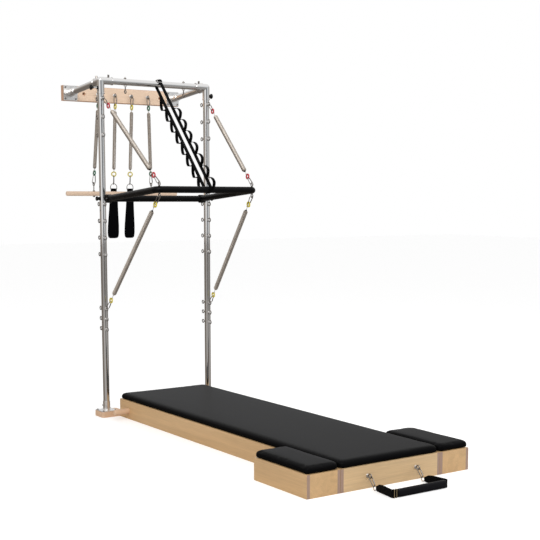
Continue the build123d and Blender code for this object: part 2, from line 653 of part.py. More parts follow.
def roll_down_bar():
    """The wooden bar and the two wall springs that carry it."""
    across = (1, 0, 0)
    half = ROLL_BAR_LENGTH / 2
    bar = rod((ROLL_BAR_X - half, ROLL_BAR_Y, ROLL_BAR_Z), (ROLL_BAR_X + half, ROLL_BAR_Y, ROLL_BAR_Z),
              ROLL_BAR / 2)
    bar = fillet(bar.edges().filter_by(GeomType.CIRCLE), ROLL_BAR_EDGE)
    for side, top_x in ((-1, WALL_EYE_X[0]), (1, WALL_EYE_X[3])):
        x = ROLL_BAR_X + side * ROLL_EYE_SPREAD
        bar -= rod((x, ROLL_BAR_Y, ROLL_BAR_Z - ROLL_BAR), (x, ROLL_BAR_Y, ROLL_BAR_Z + ROLL_BAR),
                   EYE_NECK / 2 + SOCKET_FIT)
        centre = (x, ROLL_BAR_Y, ROLL_BAR_Z + ROLL_EYE_HEIGHT)
        bolt = eye(centre, (0, 0, -1), ROLL_EYE_HEIGHT + ROLL_BAR / 2 + EYE_NUT_HEIGHT, nut=False)
        seat = (x, ROLL_BAR_Y, ROLL_BAR_Z + ROLL_BAR / 2 + SOCKET_FIT)
        bolt += prism(EYE_NUT, EYE_NUT_HEIGHT, seat, (0, 0, 1))
        under = (x, ROLL_BAR_Y, ROLL_BAR_Z - ROLL_BAR / 2 - SOCKET_FIT)
        bolt += prism(EYE_NUT, EYE_NUT_HEIGHT, under, (0, 0, -1))
        add("roll_bar_eyebolts", bolt)
        wall_eye = Vector(top_x, BOARD_FACE_Y - WALL_EYE_OFFSET, BOARD_Z)
        along = Vector(*centre) - wall_eye
        near = moved(wall_eye, along, HOOK_SEAT)
        far = moved(centre, along, -HOOK_SEAT)
        add("roll_spring_wall_links", hook(near, along, across, WALL_HOOK),
            colour_ring(near, along, across, WALL_HOOK))
        add("roll_spring_bar_links", hook(far, along * -1, across, WALL_HOOK),
            colour_ring(far, along * -1, across, WALL_HOOK))
        add("roll_bar_springs", spring(near, far, WALL_SPRING / 2, WALL_HOOK, WALL_COIL_START,
                                       across, across))
    add("roll_down_bar", bar)


def hand_loops():
    """The two padded hand loops, each on a D-ring, snap hook and wall spring."""
    turn = math.radians(LOOP_LINK_TURN)
    across = (math.sin(turn), math.cos(turn), 0)
    for name, top_x in (("left", WALL_EYE_X[1]), ("right", WALL_EYE_X[2])):
        wall_eye = Vector(top_x, BOARD_FACE_Y - WALL_EYE_OFFSET, BOARD_Z)
        y = wall_eye.Y
        top = LOOP_RING_Z + D_RING_WIDTH / 2 - HOOK_STOCK / 2
        far = Vector(top_x - LOOP_LEAN, y, top - HOOK_STOCK - LINK_GAP)
        along = far - wall_eye
        near = moved(wall_eye, along, HOOK_SEAT)
        add("loop_spring_wall_links", hook(near, along, (1, 0, 0), WALL_HOOK),
            colour_ring(near, along, (1, 0, 0), WALL_HOOK))
        add(f"{name}_loop_spring", spring(near, far, WALL_SPRING / 2, WALL_HOOK, WALL_COIL_START,
                                          (1, 0, 0), across))
        add(f"{name}_loop_link", hook(far, along * -1, across, WALL_HOOK),
            colour_ring(far, along * -1, across, WALL_HOOK), d_ring(far.X, y))
        add(f"{name}_hand_loop", hand_loop(far.X, y))


def d_ring(x, y):
    """The flat-stock ring that carries a hand loop: round above, straight below."""
    outer_r = D_RING_WIDTH / 2
    inner_r = outer_r - HOOK_STOCK
    bar = LOOP_RING_Z - D_RING_DROP
    half = HOOK_STOCK / 2
    ring = flat_ring(outer_r, inner_r, HOOK_STOCK, (x, y, LOOP_RING_Z), (0, 1, 0))
    ring -= block(x - outer_r, x + outer_r, y - HOOK_STOCK, y + HOOK_STOCK,
                  LOOP_RING_Z - outer_r - half, LOOP_RING_Z)
    for edge in (-outer_r, inner_r):
        ring += block(x + edge, x + edge + HOOK_STOCK, y - half, y + half, bar - half, LOOP_RING_Z)
    ring += block(x - outer_r, x + outer_r, y - half, y + half, bar - half, bar + half)
    return ring


def hand_loop(x, y):
    """One padded loop: a belt seen from the side, cut to its outline seen from the front."""
    top = LOOP_RING_Z - D_RING_DROP
    low = top - LOOP_LENGTH + LOOP_THICKNESS / 2
    side_view = Plane(origin=(x, y, 0), x_dir=(0, 1, 0), z_dir=(1, 0, 0))
    outer_r = LOOP_THICKNESS / 2
    inner_r = outer_r - LOOP_PADDING
    outer = belt((0, top), LOOP_NECK, (0, low), outer_r)
    inner = belt((0, top - LOOP_WEBBING), STRAP_THICKNESS / 2, (0, low), inner_r)
    solid = side_view * extrude(outer - inner, LOOP_WIDTH, both=True)
    half = LOOP_WIDTH / 2
    webbing = LOOP_WEBBING / 2
    shoulder = top - LOOP_WEBBING
    waist = half * LOOP_WAIST
    bottom = low - outer_r - 1
    front = Plane(origin=(x, y, 0), x_dir=(1, 0, 0), z_dir=(0, -1, 0))
    right = [(webbing, top + LOOP_NECK + 1), (webbing, top - LOOP_NECK), (waist, shoulder),
             (half, low + LOOP_BELLY), (half, low + LOOP_CORNER), (half - LOOP_CORNER, bottom)]
    outline = right + [(-across, up) for across, up in reversed(right)]
    cut = front * extrude(make_face(Polyline(*outline, close=True)), LOOP_WIDTH, both=True)
    solid = solid & cut
    slot = HOOK_STOCK / 2 + SEAT_GAP
    return solid - block(x - half, x + half, y - slot, y + slot, top - slot, top + slot)


def belt(first, first_radius, second, second_radius):
    """The flat outline of a belt round two circles."""
    a = Pos(*first) * Circle(first_radius)
    b = Pos(*second) * Circle(second_radius)
    return make_hull(a.edges() + b.edges())


# ---- straps -----------------------------------------------------------------------------------
def safety_strap():
    """The webbing belt from the top bar round the front of the push-through bar."""
    view = Plane(origin=(STRAP_X, 0, 0), x_dir=(0, 1, 0), z_dir=(1, 0, 0))
    top = (UPRIGHT_Y, TOP_Z)
    low = (BAR_FRONT_Y, BAR_FRONT_Z)
    inner = belt(top, R + STRAP_CLEAR, low, BAR / 2 + STRAP_CLEAR)
    outer = belt(top, R + STRAP_CLEAR + STRAP_THICKNESS, low, BAR / 2 + STRAP_CLEAR + STRAP_THICKNESS)
    add("safety_strap", view * extrude(outer - inner, STRAP_WIDTH / 2, both=True))


def foot_strap():
    """The foot strap on the floor: hooks, D-rings, webbing arms and the padded front."""
    across = (1, 0, 0)
    y_eye = MAT_FRONT_Y - eye_stand()
    y_hook = MAT_FRONT_Y - FOOT_HOOK_REACH
    y_front = MAT_FRONT_Y - FOOT_STRAP_FRONT
    z0 = FOOT_STRAP_LIFT
    z1 = z0 + FOOT_STRAP_HEIGHT
    inner = FOOT_RING / 2 - FOOT_RING_STOCK
    for side, sleeve_end in ((-1, FOOT_SLEEVE_LEFT), (1, FOOT_SLEEVE_RIGHT)):
        x = side * FRONT_EYE_X
        eye_centre = Vector(x, y_eye, FRONT_EYE_Z)
        target = Vector(x, y_hook, FOOT_HOOK_Z)
        along = target - eye_centre
        near = moved(eye_centre, along, HOOK_SEAT)
        ring_centre = moved(target, along, inner - HOOK_STOCK / 2 - LINK_GAP)
        add("foot_strap_hooks", hook(near, along, across, (target - near).length),
            flat_ring(FOOT_RING / 2, inner, HOOK_STOCK, ring_centre, across))
        path = [(x, ring_centre.Y - FOOT_RING / 2 - SEAT_GAP), (side * FOOT_STRAP_HALF, y_front),
                (sleeve_end, y_front)]
        line = FilletPolyline(*path, radius=FOOT_STRAP_BEND)
        face = trace(line, FOOT_STRAP_THICKNESS)
        add("foot_strap", Pos(0, 0, z0) * extrude(face, FOOT_STRAP_HEIGHT))
    pad = block(FOOT_SLEEVE_LEFT, FOOT_SLEEVE_RIGHT, y_front - FOOT_SLEEVE_THICKNESS / 2,
                y_front + FOOT_SLEEVE_THICKNESS / 2, z0, z1)
    add("foot_strap_sleeve", fillet(pad.edges().filter_by(Axis.X), FOOT_SLEEVE_EDGE))


mat_centre()
wings()
hand_peg()
front_eyes()
uprights()
top_bar_and_arms()
corner_elbows()
feet()
wall_board()
eyebolts()
push_bar()
lock_knobs()
arm_springs()
roll_down_bar()
hand_loops()
safety_strap()
foot_strap()

os.makedirs("parts", exist_ok=True)
for name, solids in nodes.items():
    shapes = [s for shape in solids for s in shape.solids()]
    model = shapes[0] if len(shapes) == 1 else Compound(children=shapes)
    model.label = name
    export_step(model, f"parts/{name}.step")
print(len(nodes), "nodes")
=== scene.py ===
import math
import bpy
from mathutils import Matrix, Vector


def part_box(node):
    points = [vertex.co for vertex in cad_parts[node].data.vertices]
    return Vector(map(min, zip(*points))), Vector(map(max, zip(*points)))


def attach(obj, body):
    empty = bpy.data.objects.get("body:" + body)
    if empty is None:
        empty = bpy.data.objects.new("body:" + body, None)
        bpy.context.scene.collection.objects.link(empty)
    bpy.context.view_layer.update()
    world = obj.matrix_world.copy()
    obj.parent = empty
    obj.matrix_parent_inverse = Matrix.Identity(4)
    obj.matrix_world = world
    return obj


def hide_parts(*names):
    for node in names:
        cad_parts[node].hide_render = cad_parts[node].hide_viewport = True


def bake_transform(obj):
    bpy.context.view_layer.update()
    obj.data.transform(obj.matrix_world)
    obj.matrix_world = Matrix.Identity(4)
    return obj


bl_info = {
    "name": "Pilates tower and raised mat",
    "version": (1, 0, 0),
    "blender": (4, 5, 0),
    "location": "View3D > Sidebar > Tower",
    "description": "Dresses the packed tower, mat, springs and straps with their real surfaces",
    "category": "Add Mesh",
}

import bpy
import numpy as np

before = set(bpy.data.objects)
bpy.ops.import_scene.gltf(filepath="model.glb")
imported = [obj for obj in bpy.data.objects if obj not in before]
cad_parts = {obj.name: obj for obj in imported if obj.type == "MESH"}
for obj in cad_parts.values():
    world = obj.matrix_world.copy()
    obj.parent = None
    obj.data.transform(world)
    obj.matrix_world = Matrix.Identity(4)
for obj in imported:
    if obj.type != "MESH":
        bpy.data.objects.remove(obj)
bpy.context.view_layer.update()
BODIES = ("tower_and_mat", "push_bar", "lower_springs", "lower_spring_rings", "lower_spring_hooks",
          "roll_springs", "roll_down_bar", "left_hand_loop", "right_hand_loop", "foot_strap")
ROOT, PUSH_BAR, LOWER, LOWER_RINGS, LOWER_HOOKS, ROLL, ROLL_BAR, LEFT_LOOP, RIGHT_LOOP, FOOT = BODIES
SIDES = (("left", -1), ("right", 1))
X = np.array((1.0, 0.0, 0.0))
Y = np.array((0.0, 1.0, 0.0))
Z = np.array((0.0, 0.0, 1.0))


# ---- places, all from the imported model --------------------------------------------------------
def middle(node):
    """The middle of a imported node's box."""
    low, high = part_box(node)
    return np.array((low + high) / 2)


def edge(node, way, end):
    """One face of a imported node's box: its place along axis 0, 1 or 2, low (0) or high (1)."""
    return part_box(node)[end][way]


def box(node):
    """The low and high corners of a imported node's box."""
    return [np.array(corner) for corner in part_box(node)]


def points_of(mesh):
    """A mesh's points as rows of X, Y and Z."""
    flat = np.empty(len(mesh.vertices) * 3, np.float32)
    mesh.vertices.foreach_get("co", flat)
    return flat.reshape(-1, 3).astype(float)


def row_of(node, axis):
    """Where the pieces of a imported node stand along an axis.

    They are the middles of the groups of points that a gap of over 20 mm parts from each other.
    """
    run = np.unique(points_of(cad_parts[node].data)[:, axis])
    groups = np.split(run, np.nonzero(np.diff(run) > 0.02)[0] + 1)
    return [float(group[0] + group[-1]) / 2 for group in groups]


MAT_FRONT_Y = edge("mat_pad", 1, 0)
POST_X, POST_Y = middle("right_upright")[:2]
POST_R = (edge("right_upright", 0, 1) - edge("right_upright", 0, 0)) / 2
TOP_Z = middle("top_bar")[2]
BOARD_Y = edge("wall_board", 1, 0)
BOARD_Z = middle("wall_board")[2]
BAR_R = (edge("push_bar_rear_tube", 2, 1) - edge("push_bar_rear_tube", 2, 0)) / 2
BAR_Y = edge("push_bar_tube", 1, 0) + BAR_R
BAR_Z = edge("push_bar_tube", 2, 1) - BAR_R
ROLL_X, ROLL_Y, ROLL_Z = middle("roll_down_bar")
EYE_R = 0.0125
FRONT_EYE_Y = edge("right_upright_eyebolts", 1, 0) + EYE_R
REAR_EYE_Y = edge("right_upright_eyebolts", 1, 1) - EYE_R
EYE_HEIGHTS = row_of("right_upright_eyebolts", 2)
LOWER_HOOK_HEIGHT, UPPER_HOOK_HEIGHT = EYE_HEIGHTS[2], EYE_HEIGHTS[9]
WALL_EYE_X = edge("wall_eyebolts", 0, 1) - 0.0025
WALL_EYE_XS = (-WALL_EYE_X, -WALL_EYE_X / 3, WALL_EYE_X / 3, WALL_EYE_X)
WALL_EYE_OUT = 0.015
WALL_EYE_Y = BOARD_Y - WALL_EYE_OUT
TOP_EYE_Z = edge("top_bar_eyebolts", 2, 0) + EYE_R
BAR_EYE = BAR_Z - edge("push_bar_eyebolts", 2, 0) - EYE_R
BAR_EYE_X = row_of("push_bar_eyebolts", 0)[1]
ROLL_EYE_Z = edge("roll_bar_eyebolts", 2, 1) - EYE_R
ROLL_EYE_X = row_of("roll_bar_eyebolts", 0)[1] - ROLL_X
STRAP_EYE_X = row_of("front_eyebolts", 0)[1]
STRAP_EYE_Y = edge("front_eyebolts", 1, 0) + EYE_R
STRAP_EYE_Z = middle("front_eyebolts")[2]


# ---- sizes and colours that a user would change -----------------------------------------------
def srgb(code):
    """Turns a #rrggbb colour into linear red, green and blue."""
    parts = np.array([int(code[i:i + 2], 16) for i in (1, 3, 5)]) / 255
    return tuple(np.where(parts <= 0.04045, parts / 12.92, ((parts + 0.055) / 1.055) ** 2.4))


def length(name, text, default):
    return bpy.props.FloatProperty(name=name, description=text, default=default, min=0.0, unit="LENGTH")


def colour(name, text, code):
    return bpy.props.FloatVectorProperty(name=name, description=text, default=srgb(code), size=3,
                                         min=0.0, max=1.0, subtype="COLOR")


class TowerSizes(bpy.types.PropertyGroup):
    """Sizes of the wire, links, webbing and padding."""
    arm_wire: length("Arm spring wire", "Wire thickness of the push-through bar's springs", 0.0032)
    arm_coil: length("Arm spring width", "Outer width of the push-through bar's springs", 0.029)
    wall_wire: length("Wall spring wire", "Wire thickness of the wall springs", 0.0029)
    wall_coil: length("Wall spring width", "Outer width of the wall springs", 0.025)
    link_wire: length("Hook wire", "Thickness of the snap hooks' wire", 0.0048)
    ring_width: length("Colour ring width", "Outer width of the coloured rings", 0.0375)
    eye_wire: length("Eye wire", "Thickness of the eyebolts' rings", 0.0066)
    strap_width: length("Safety strap width", "Width of the safety strap's webbing", 0.025)
    loop_pad: length("Hand loop padding", "Thickness of the hand loops' padding", 0.010)
    pad_crown: length("Mat crown", "How far the mat's padding rises in its middle", 0.003)


class TowerColours(bpy.types.PropertyGroup):
    """Colours of the finishes."""
    vinyl: colour("Vinyl", "Upholstery vinyl of the mat", "#0B0B0C")
    plywood: colour("Plywood", "Lacquered face veneer of the boxes", "#D9B98D")
    end_grain: colour("Panel edges", "Cut edges of the plywood panels", "#A88C7C")
    maple: colour("Maple", "Wall board and roll-down bar", "#EFD1B6")
    chrome: colour("Chrome", "Plated tubes and corner fittings", "#E2E1E0")
    steel: colour("Steel", "Flanges, nuts and washers", "#F0EEEC")
    # darker than steel: painted shade that dims the eyes' and hooks' reflections
    forged: colour("Forged steel", "Eyes, snap hooks and D-rings", "#938E89")
    spring: colour("Spring wire", "Wire of all springs", "#CEC5BB")
    powder: colour("Powder coat", "Black push-through bar", "#050506")
    plastic: colour("Plastic", "Black knobs and pivot blocks", "#040405")
    webbing: colour("Webbing", "Straps", "#020203")
    padding: colour("Padding", "Hand loops", "#030305")
    sleeve: colour("Foot sleeve", "Coated sleeve of the foot strap", "#0B0B10")
    block: colour("Foot blocks", "Oiled blocks under the posts, and the hand peg", "#DDB897")
    brass: colour("Brass", "Small rings of the foot strap", "#A98B5A")
    thread: colour("Thread", "Stitching and slider rings of the foot strap", "#9C8A6A")
    red: colour("Red ring", "Rings of the upper arm springs", "#C4283A")
    yellow: colour("Yellow ring", "Rings of the lower arm springs and loop springs", "#D9C62E")
    green: colour("Green ring", "Rings of the roll-down bar's springs", "#25694A")


def sizes():
    return bpy.context.scene.tower_sizes


# ---- mesh making ------------------------------------------------------------------------------
def unit(rows):
    """Vectors brought to a length of one."""
    rows = np.asarray(rows, float)
    return rows / np.linalg.norm(rows, axis=-1, keepdims=True)


class Shape:
    """Gathers grids of points into one closed mesh, with a map in metres and a tint per face."""

    def __init__(self):
        self.points, self.quads, self.quad_maps, self.quad_tints = [], [], [], []
        self.caps, self.cap_maps, self.cap_tints = [], [], []
        self.total = 0
        self.tint = 0

    def grid(self, points, across, along, wrap_rows=False):
        """Adds rows x columns of points, closed across; across and along give the map's metres."""
        rows, columns = points.shape[:2]
        index = self.total + np.arange(rows * columns).reshape(rows, columns)
        index = np.concatenate([index, index[:, :1]], 1)
        if wrap_rows:
            index = np.concatenate([index, index[:1]], 0)
        u, v = np.meshgrid(across, along)
        corners = [index[:-1, :-1], index[:-1, 1:], index[1:, 1:], index[1:, :-1]]
        maps = [np.stack([u[a, b], v[a, b]], -1)
                for a, b in (np.s_[:-1, :-1], np.s_[:-1, 1:], np.s_[1:, 1:], np.s_[1:, :-1])]
        self.points.append(points.reshape(-1, 3))
        self.quads.append(np.stack(corners, -1).reshape(-1, 4))
        self.quad_maps.append(np.stack(maps, -2).reshape(-1, 2))
        self.quad_tints.append(np.full(self.quads[-1].shape[0], self.tint))
        self.total += rows * columns
        return index

    def cap(self, ring, flat):
        """Closes a ring of points with one face."""
        self.caps.append([int(i) for i in ring])
        self.cap_maps.append(flat)
        self.cap_tints.append(self.tint)

    def make(self, name, finishes, smooth_under=40.0):
        """Writes the gathered points and faces into a new object."""
        mesh = bpy.data.meshes.new(name)
        quads = np.concatenate(self.quads)
        mesh.from_pydata(np.concatenate(self.points), [], quads.tolist() + self.caps)
        maps = np.concatenate(self.quad_maps + self.cap_maps)
        layer = mesh.uv_layers.new(name="run")
        layer.data.foreach_set("uv", maps.astype(np.float32).ravel())
        tints = np.concatenate(self.quad_tints + [np.array(self.cap_tints, int)])
        for finish in finishes:
            mesh.materials.append(finish)
        mesh.polygons.foreach_set("material_index", tints.astype(np.int32))
        mesh.polygons.foreach_set("use_smooth", np.ones(len(mesh.polygons), bool))
        mesh.set_sharp_from_angle(angle=math.radians(smooth_under))
        mesh.update()
        mesh.validate()
        item = bpy.data.objects.new(name, mesh)
        bpy.context.scene.collection.objects.link(item)
        return item


def distances(rows, closed=False):
    """Distance run along a row of points, from its first."""
    steps = np.diff(np.concatenate([rows, rows[:1]]) if closed else rows, axis=0)
    return np.concatenate([[0.0], np.cumsum(np.linalg.norm(steps, axis=1))])


def carry(shape, path, side, outline, closed=False, scale=(1.0, 1.0)):
    """Carries a closed outline along a path.

    Point (i, j) = path_i + a_j * side_i + b_j * up_i, where up_i is square to side_i and to the
    path's own direction there, and (a_j, b_j) is the outline times the scale at i.
    """
    path = np.asarray(path, float)
    ahead = np.roll(path, -1, 0) - np.roll(path, 1, 0) if closed else np.gradient(path, axis=0)
    ahead = unit(ahead)
    side = np.broadcast_to(np.asarray(side, float), path.shape)
    up = unit(np.cross(ahead, side))
    side = np.cross(up, ahead)
    scale = np.broadcast_to(np.asarray(scale, float), (len(path), 2))
    ring = outline[None] * scale[:, None]
    grid = path[:, None] + ring[..., :1] * side[:, None] + ring[..., 1:] * up[:, None]
    across = distances(outline, closed=True)
    index = shape.grid(grid, across, distances(path, closed), wrap_rows=closed)
    if not closed:
        shape.cap(index[0, :-1][::-1], outline[::-1])
        shape.cap(index[-1, :-1], outline)


def turn(shape, origin, axis, profile, count=24):
    """Turns a profile of (radius, height) points about an axis.

    Point (i, j) = origin + height_i * axis + radius_i * (cos t_j * e1 + sin t_j * e2).
    """
    axis = unit(axis)
    first, second = square_pair(axis)
    t = np.arange(count) * 2 * math.pi / count
    spokes = np.cos(t)[:, None] * first + np.sin(t)[:, None] * second
    profile = np.asarray(profile, float)
    grid = np.asarray(origin) + profile[:, 1][:, None, None] * axis + profile[:, 0][:, None, None] * spokes
    widest = profile[:, 0].max()
    across = np.linspace(0, 2 * math.pi * widest, count + 1)
    index = shape.grid(grid, across, distances(profile))
    flat = np.stack([np.cos(t), np.sin(t)], -1)
    shape.cap(index[0, :-1][::-1], flat[::-1] * profile[0, 0])
    shape.cap(index[-1, :-1], flat * profile[-1, 0])


def circle(radius, count=10):
    """A round outline."""
    t = np.arange(count) * 2 * math.pi / count
    return radius * np.stack([np.cos(t), np.sin(t)], -1)


def rounded_loop(centre, first, second, halves, corner, count):
    """A closed rectangle with rounded corners: a quarter circle about each corner's middle."""
    a, b = halves[0] - corner, halves[1] - corner
    quarters = ((1, 1, 0), (-1, 1, 90), (-1, -1, 180), (1, -1, 270))
    return np.concatenate([arc(centre + first * i * a + second * j * b, first, second, corner,
                               begin, begin + 90, count) for i, j, begin in quarters])


def lozenge(width, height, corner, count=5):
    """A rectangle outline with rounded corners."""
    return rounded_loop(np.zeros(2), np.array((1.0, 0.0)), np.array((0.0, 1.0)),
                        (width / 2, height / 2), corner, count)


def pillow(half_width, half_height, side_power, top_power, count):
    """A swollen outline: (a * |cos t|^p, b * |sin t|^q), each with the sign of its cos or sin."""
    t = np.arange(count) * 2 * math.pi / count
    c, s = np.cos(t), np.sin(t)
    return np.stack([half_width * np.sign(c) * np.abs(c) ** side_power,
                     half_height * np.sign(s) * np.abs(s) ** top_power], -1)


def arc(centre, first, second, radius, start, end, count):
    """Points on a circle: centre + radius * (cos t * first + sin t * second)."""
    t = np.radians(np.linspace(start, end, count))[:, None]
    return np.asarray(centre) + radius * (np.cos(t) * first + np.sin(t) * second)


def curve(a, b, c, d, count=16):
    """A cubic Bezier curve through a and d, pulled towards b and c."""
    t = np.linspace(0, 1, count)[:, None]
    a, b, c, d = (np.asarray(p, float) for p in (a, b, c, d))
    return (1 - t) ** 3 * a + 3 * t * (1 - t) ** 2 * b + 3 * t * t * (1 - t) * c + t ** 3 * d


def evened(path, step, closed=False):
    """The same path with its points an even distance apart."""
    rows = np.concatenate([path, path[:1]]) if closed else path
    run = distances(rows)
    count = max(int(round(run[-1] / step)), 3)
    at = np.linspace(0, run[-1], count + 1)[:-1] if closed else np.linspace(0, run[-1], count + 1)
    return np.stack([np.interp(at, run, rows[:, k]) for k in range(3)], -1)


def square_pair(axis):
    """Two unit vectors square to an axis and to each other."""
    first = unit(np.cross(axis, X if abs(axis[0]) < 0.9 else Y))
    return first, np.cross(axis, first)


def squared(across, way):
    """The part of a direction that is square to way, as a unit vector."""
    across = np.asarray(across, float)
    return unit(across - way * (across @ way))


def ring_path(centre, axis, radius, count):
    """A circle round an axis."""
    return arc(centre, *square_pair(unit(axis)), radius, 0, 360, count + 1)[:-1]


# ---- finishes ---------------------------------------------------------------------------------
def add_node(tree, kind, inputs=None, **settings):
    """Adds a node: settings are its attributes, inputs its values or the sockets that feed them."""
    item = tree.nodes.new(kind)
    for name, value in settings.items():
        setattr(item, name, value)
    for name, value in (inputs or {}).items():
        if isinstance(value, bpy.types.NodeSocket):
            tree.links.new(value, item.inputs[name])
        else:
            item.inputs[name].default_value = value
    return item


def start_finish(name):
    """A new material with a bare shader; returns the material, its tree and its shader."""
    old = bpy.data.materials.get(name)
    if old:
        bpy.data.materials.remove(old)
    made = bpy.data.materials.new(name)
    made.use_nodes = True
    return made, made.node_tree, made.node_tree.nodes["Principled BSDF"]


def tone(linear, factor):
    """A lighter or darker tone of a linear colour, with alpha."""
    return tuple(min(c * factor, 1.0) for c in linear) + (1.0,)


def dressed(name, colour_value, rough, cell, spread, metallic=0.0, grain=(1.0, 1.0, 1.0),
            rough_spread=0.05, bump=0.0, depth=0.2, detail=3.0, **shader):
    """A finish whose colour, roughness and bump follow one stretched noise pattern.

    The pattern's cells are cell millimetres wide, its bumps depth millimetres deep.
    """
    made, tree, base = start_finish(name)
    place = add_node(tree, "ShaderNodeTexCoord").outputs["Object"]
    place = add_node(tree, "ShaderNodeMapping", {"Vector": place, "Scale": grain}).outputs["Vector"]
    noise = add_node(tree, "ShaderNodeTexNoise", {"Vector": place, "Scale": 1000 / cell, "Detail": detail,
                                                  "Roughness": 0.6}).outputs["Fac"]
    ramp = add_node(tree, "ShaderNodeValToRGB", {"Fac": noise})
    for stop, position, factor in zip(ramp.color_ramp.elements, (0.3, 0.7), (1 - spread, 1 + spread)):
        stop.position = position
        stop.color = tone(colour_value, factor)
    tree.links.new(ramp.outputs["Color"], base.inputs["Base Color"])
    rougher = add_node(tree, "ShaderNodeMapRange", {"Value": noise, "To Min": rough - rough_spread,
                                                    "To Max": rough + rough_spread})
    tree.links.new(rougher.outputs["Result"], base.inputs["Roughness"])
    base.inputs["Metallic"].default_value = metallic
    if bump:
        lift = add_node(tree, "ShaderNodeBump", {"Height": noise, "Strength": bump, "Distance": depth / 1000})
        tree.links.new(lift.outputs["Normal"], base.inputs["Normal"])
    for name, value in shader.items():
        base.inputs[name.replace("_", " ")].default_value = value
    return made


def facing(tree, axis):
    """How squarely the surface faces along an axis, from 0 to 1, whichever way it points."""
    normal = add_node(tree, "ShaderNodeTexCoord").outputs["Normal"]
    along = add_node(tree, "ShaderNodeSeparateXYZ", {"Vector": normal}).outputs[axis]
    return add_node(tree, "ShaderNodeMath", {0: along}, operation="ABSOLUTE").outputs[0]


def darker_edges(made, axis, share):
    """Darkens a plank's ends, long edges and screw holes: all faces that don't face along an axis."""
    tree = made.node_tree
    base = tree.nodes["Principled BSDF"].inputs["Base Color"]
    face = base.links[0].from_socket
    edge_on = add_node(tree, "ShaderNodeMath", {0: facing(tree, axis), 1: 0.9},
                       operation="LESS_THAN").outputs[0]
    dark = add_node(tree, "ShaderNodeMix", {0: 1.0, 6: face, 7: tuple(share) + (1.0,)}, data_type="RGBA",
                    blend_type="MULTIPLY").outputs[2]
    either = add_node(tree, "ShaderNodeMix", {0: edge_on, 6: face, 7: dark}, data_type="RGBA")
    tree.links.new(either.outputs[2], base)
    return made


def painted_side_shade(made, side, top):
    """Painted shade: gives upholstery more sheen on top than down its sides, where the floor's shade lies, by
    a specular level that follows how far each face points up.
    """
    tree = made.node_tree
    up = add_node(tree, "ShaderNodeSeparateXYZ", {"Vector": add_node(
        tree, "ShaderNodeTexCoord").outputs["Normal"]}).outputs["Z"]
    sheen = add_node(tree, "ShaderNodeMapRange", {"Value": up, "From Min": 0.15, "From Max": 0.95,
                                                  "To Min": side, "To Max": top})
    gloss = tree.nodes["Principled BSDF"].inputs["Specular IOR Level"]
    tree.links.new(sheen.outputs["Result"], gloss)
    return made


def plywood(name, along, edges=(), painted_shade=1.0):
    """Lacquered birch plywood: long pale streaks of grain, and darker layered edges.

    The face grain runs along one axis, in streaks under 4 mm wide over clouds of about 45 mm. Where
    a panel's cut edge shows, given as ranges of X, the colour goes over to the edge's, striped by
    its layers. They are drawn 3.1 mm thick, twice the real ones, so that they show.
    """
    colours = bpy.context.scene.tower_colours
    # the face colour times a factor per channel, below one on the long sides: painted shade
    face = tuple(np.array(colours.plywood) * painted_shade)
    made, tree, base = start_finish(name)
    place = add_node(tree, "ShaderNodeTexCoord").outputs["Object"]
    stretch = [1.0, 1.0, 1.0]
    stretch[along] = 0.03
    fine = add_node(tree, "ShaderNodeMapping", {"Vector": place, "Scale": stretch}).outputs["Vector"]
    streaks = add_node(tree, "ShaderNodeTexNoise", {"Vector": fine, "Scale": 1000 / 3.846, "Detail": 4.0,
                                                    "Roughness": 0.65}).outputs["Fac"]
    clouds = add_node(tree, "ShaderNodeTexNoise", {"Vector": fine, "Scale": 1000 / 45.45, "Detail": 2.0,
                                                   "Distortion": 0.6}).outputs["Fac"]
    both = add_node(tree, "ShaderNodeMath", {0: streaks, 1: clouds}, operation="ADD").outputs[0]
    half = add_node(tree, "ShaderNodeMath", {0: both, 1: 0.5}, operation="MULTIPLY").outputs[0]
    ramp = add_node(tree, "ShaderNodeValToRGB", {"Fac": half})
    for stop, position, factor in zip(ramp.color_ramp.elements, (0.36, 0.64), (0.86, 1.10)):
        stop.position = position
        stop.color = tone(face, factor)
    shown = ramp.outputs["Color"]
    if edges:
        layers = add_node(tree, "ShaderNodeTexWave", {"Vector": place, "Scale": WAVE / 0.0031416,
                                                      "Distortion": 0.4}, bands_direction="X")
        stripes = add_node(tree, "ShaderNodeValToRGB", {"Fac": layers.outputs["Fac"]})
        for stop, factor in zip(stripes.color_ramp.elements, (0.82, 1.12)):
            stop.color = tone(tuple(colours.end_grain), factor)
        from_middle = add_node(tree, "ShaderNodeMath", {0: add_node(
            tree, "ShaderNodeSeparateXYZ", {"Vector": place}).outputs["X"]}, operation="ABSOLUTE").outputs[0]
        mask = add_node(tree, "ShaderNodeMath", {0: facing(tree, "Y"), 1: 0.9},
                        operation="GREATER_THAN").outputs[0]
        inside = 0.0
        for centre, reach in edges:
            here = add_node(tree, "ShaderNodeMath", {0: from_middle, 1: centre, 2: reach},
                            operation="COMPARE").outputs[0]
            inside = add_node(tree, "ShaderNodeMath", {0: inside, 1: here}, operation="MAXIMUM").outputs[0]
        mask = add_node(tree, "ShaderNodeMath", {0: inside, 1: mask}, operation="MULTIPLY").outputs[0]
        shown = add_node(tree, "ShaderNodeMix", {0: mask, 6: shown, 7: stripes.outputs["Color"]},
                         data_type="RGBA").outputs[2]
    tree.links.new(shown, base.inputs["Base Color"])
    lift = add_node(tree, "ShaderNodeBump", {"Height": streaks, "Strength": 0.12, "Distance": 0.0003})
    tree.links.new(lift.outputs["Normal"], base.inputs["Normal"])
    for socket, value in (("Roughness", 0.42), ("Coat Weight", 0.15), ("Coat Roughness", 0.3)):
        base.inputs[socket].default_value = value
    return made


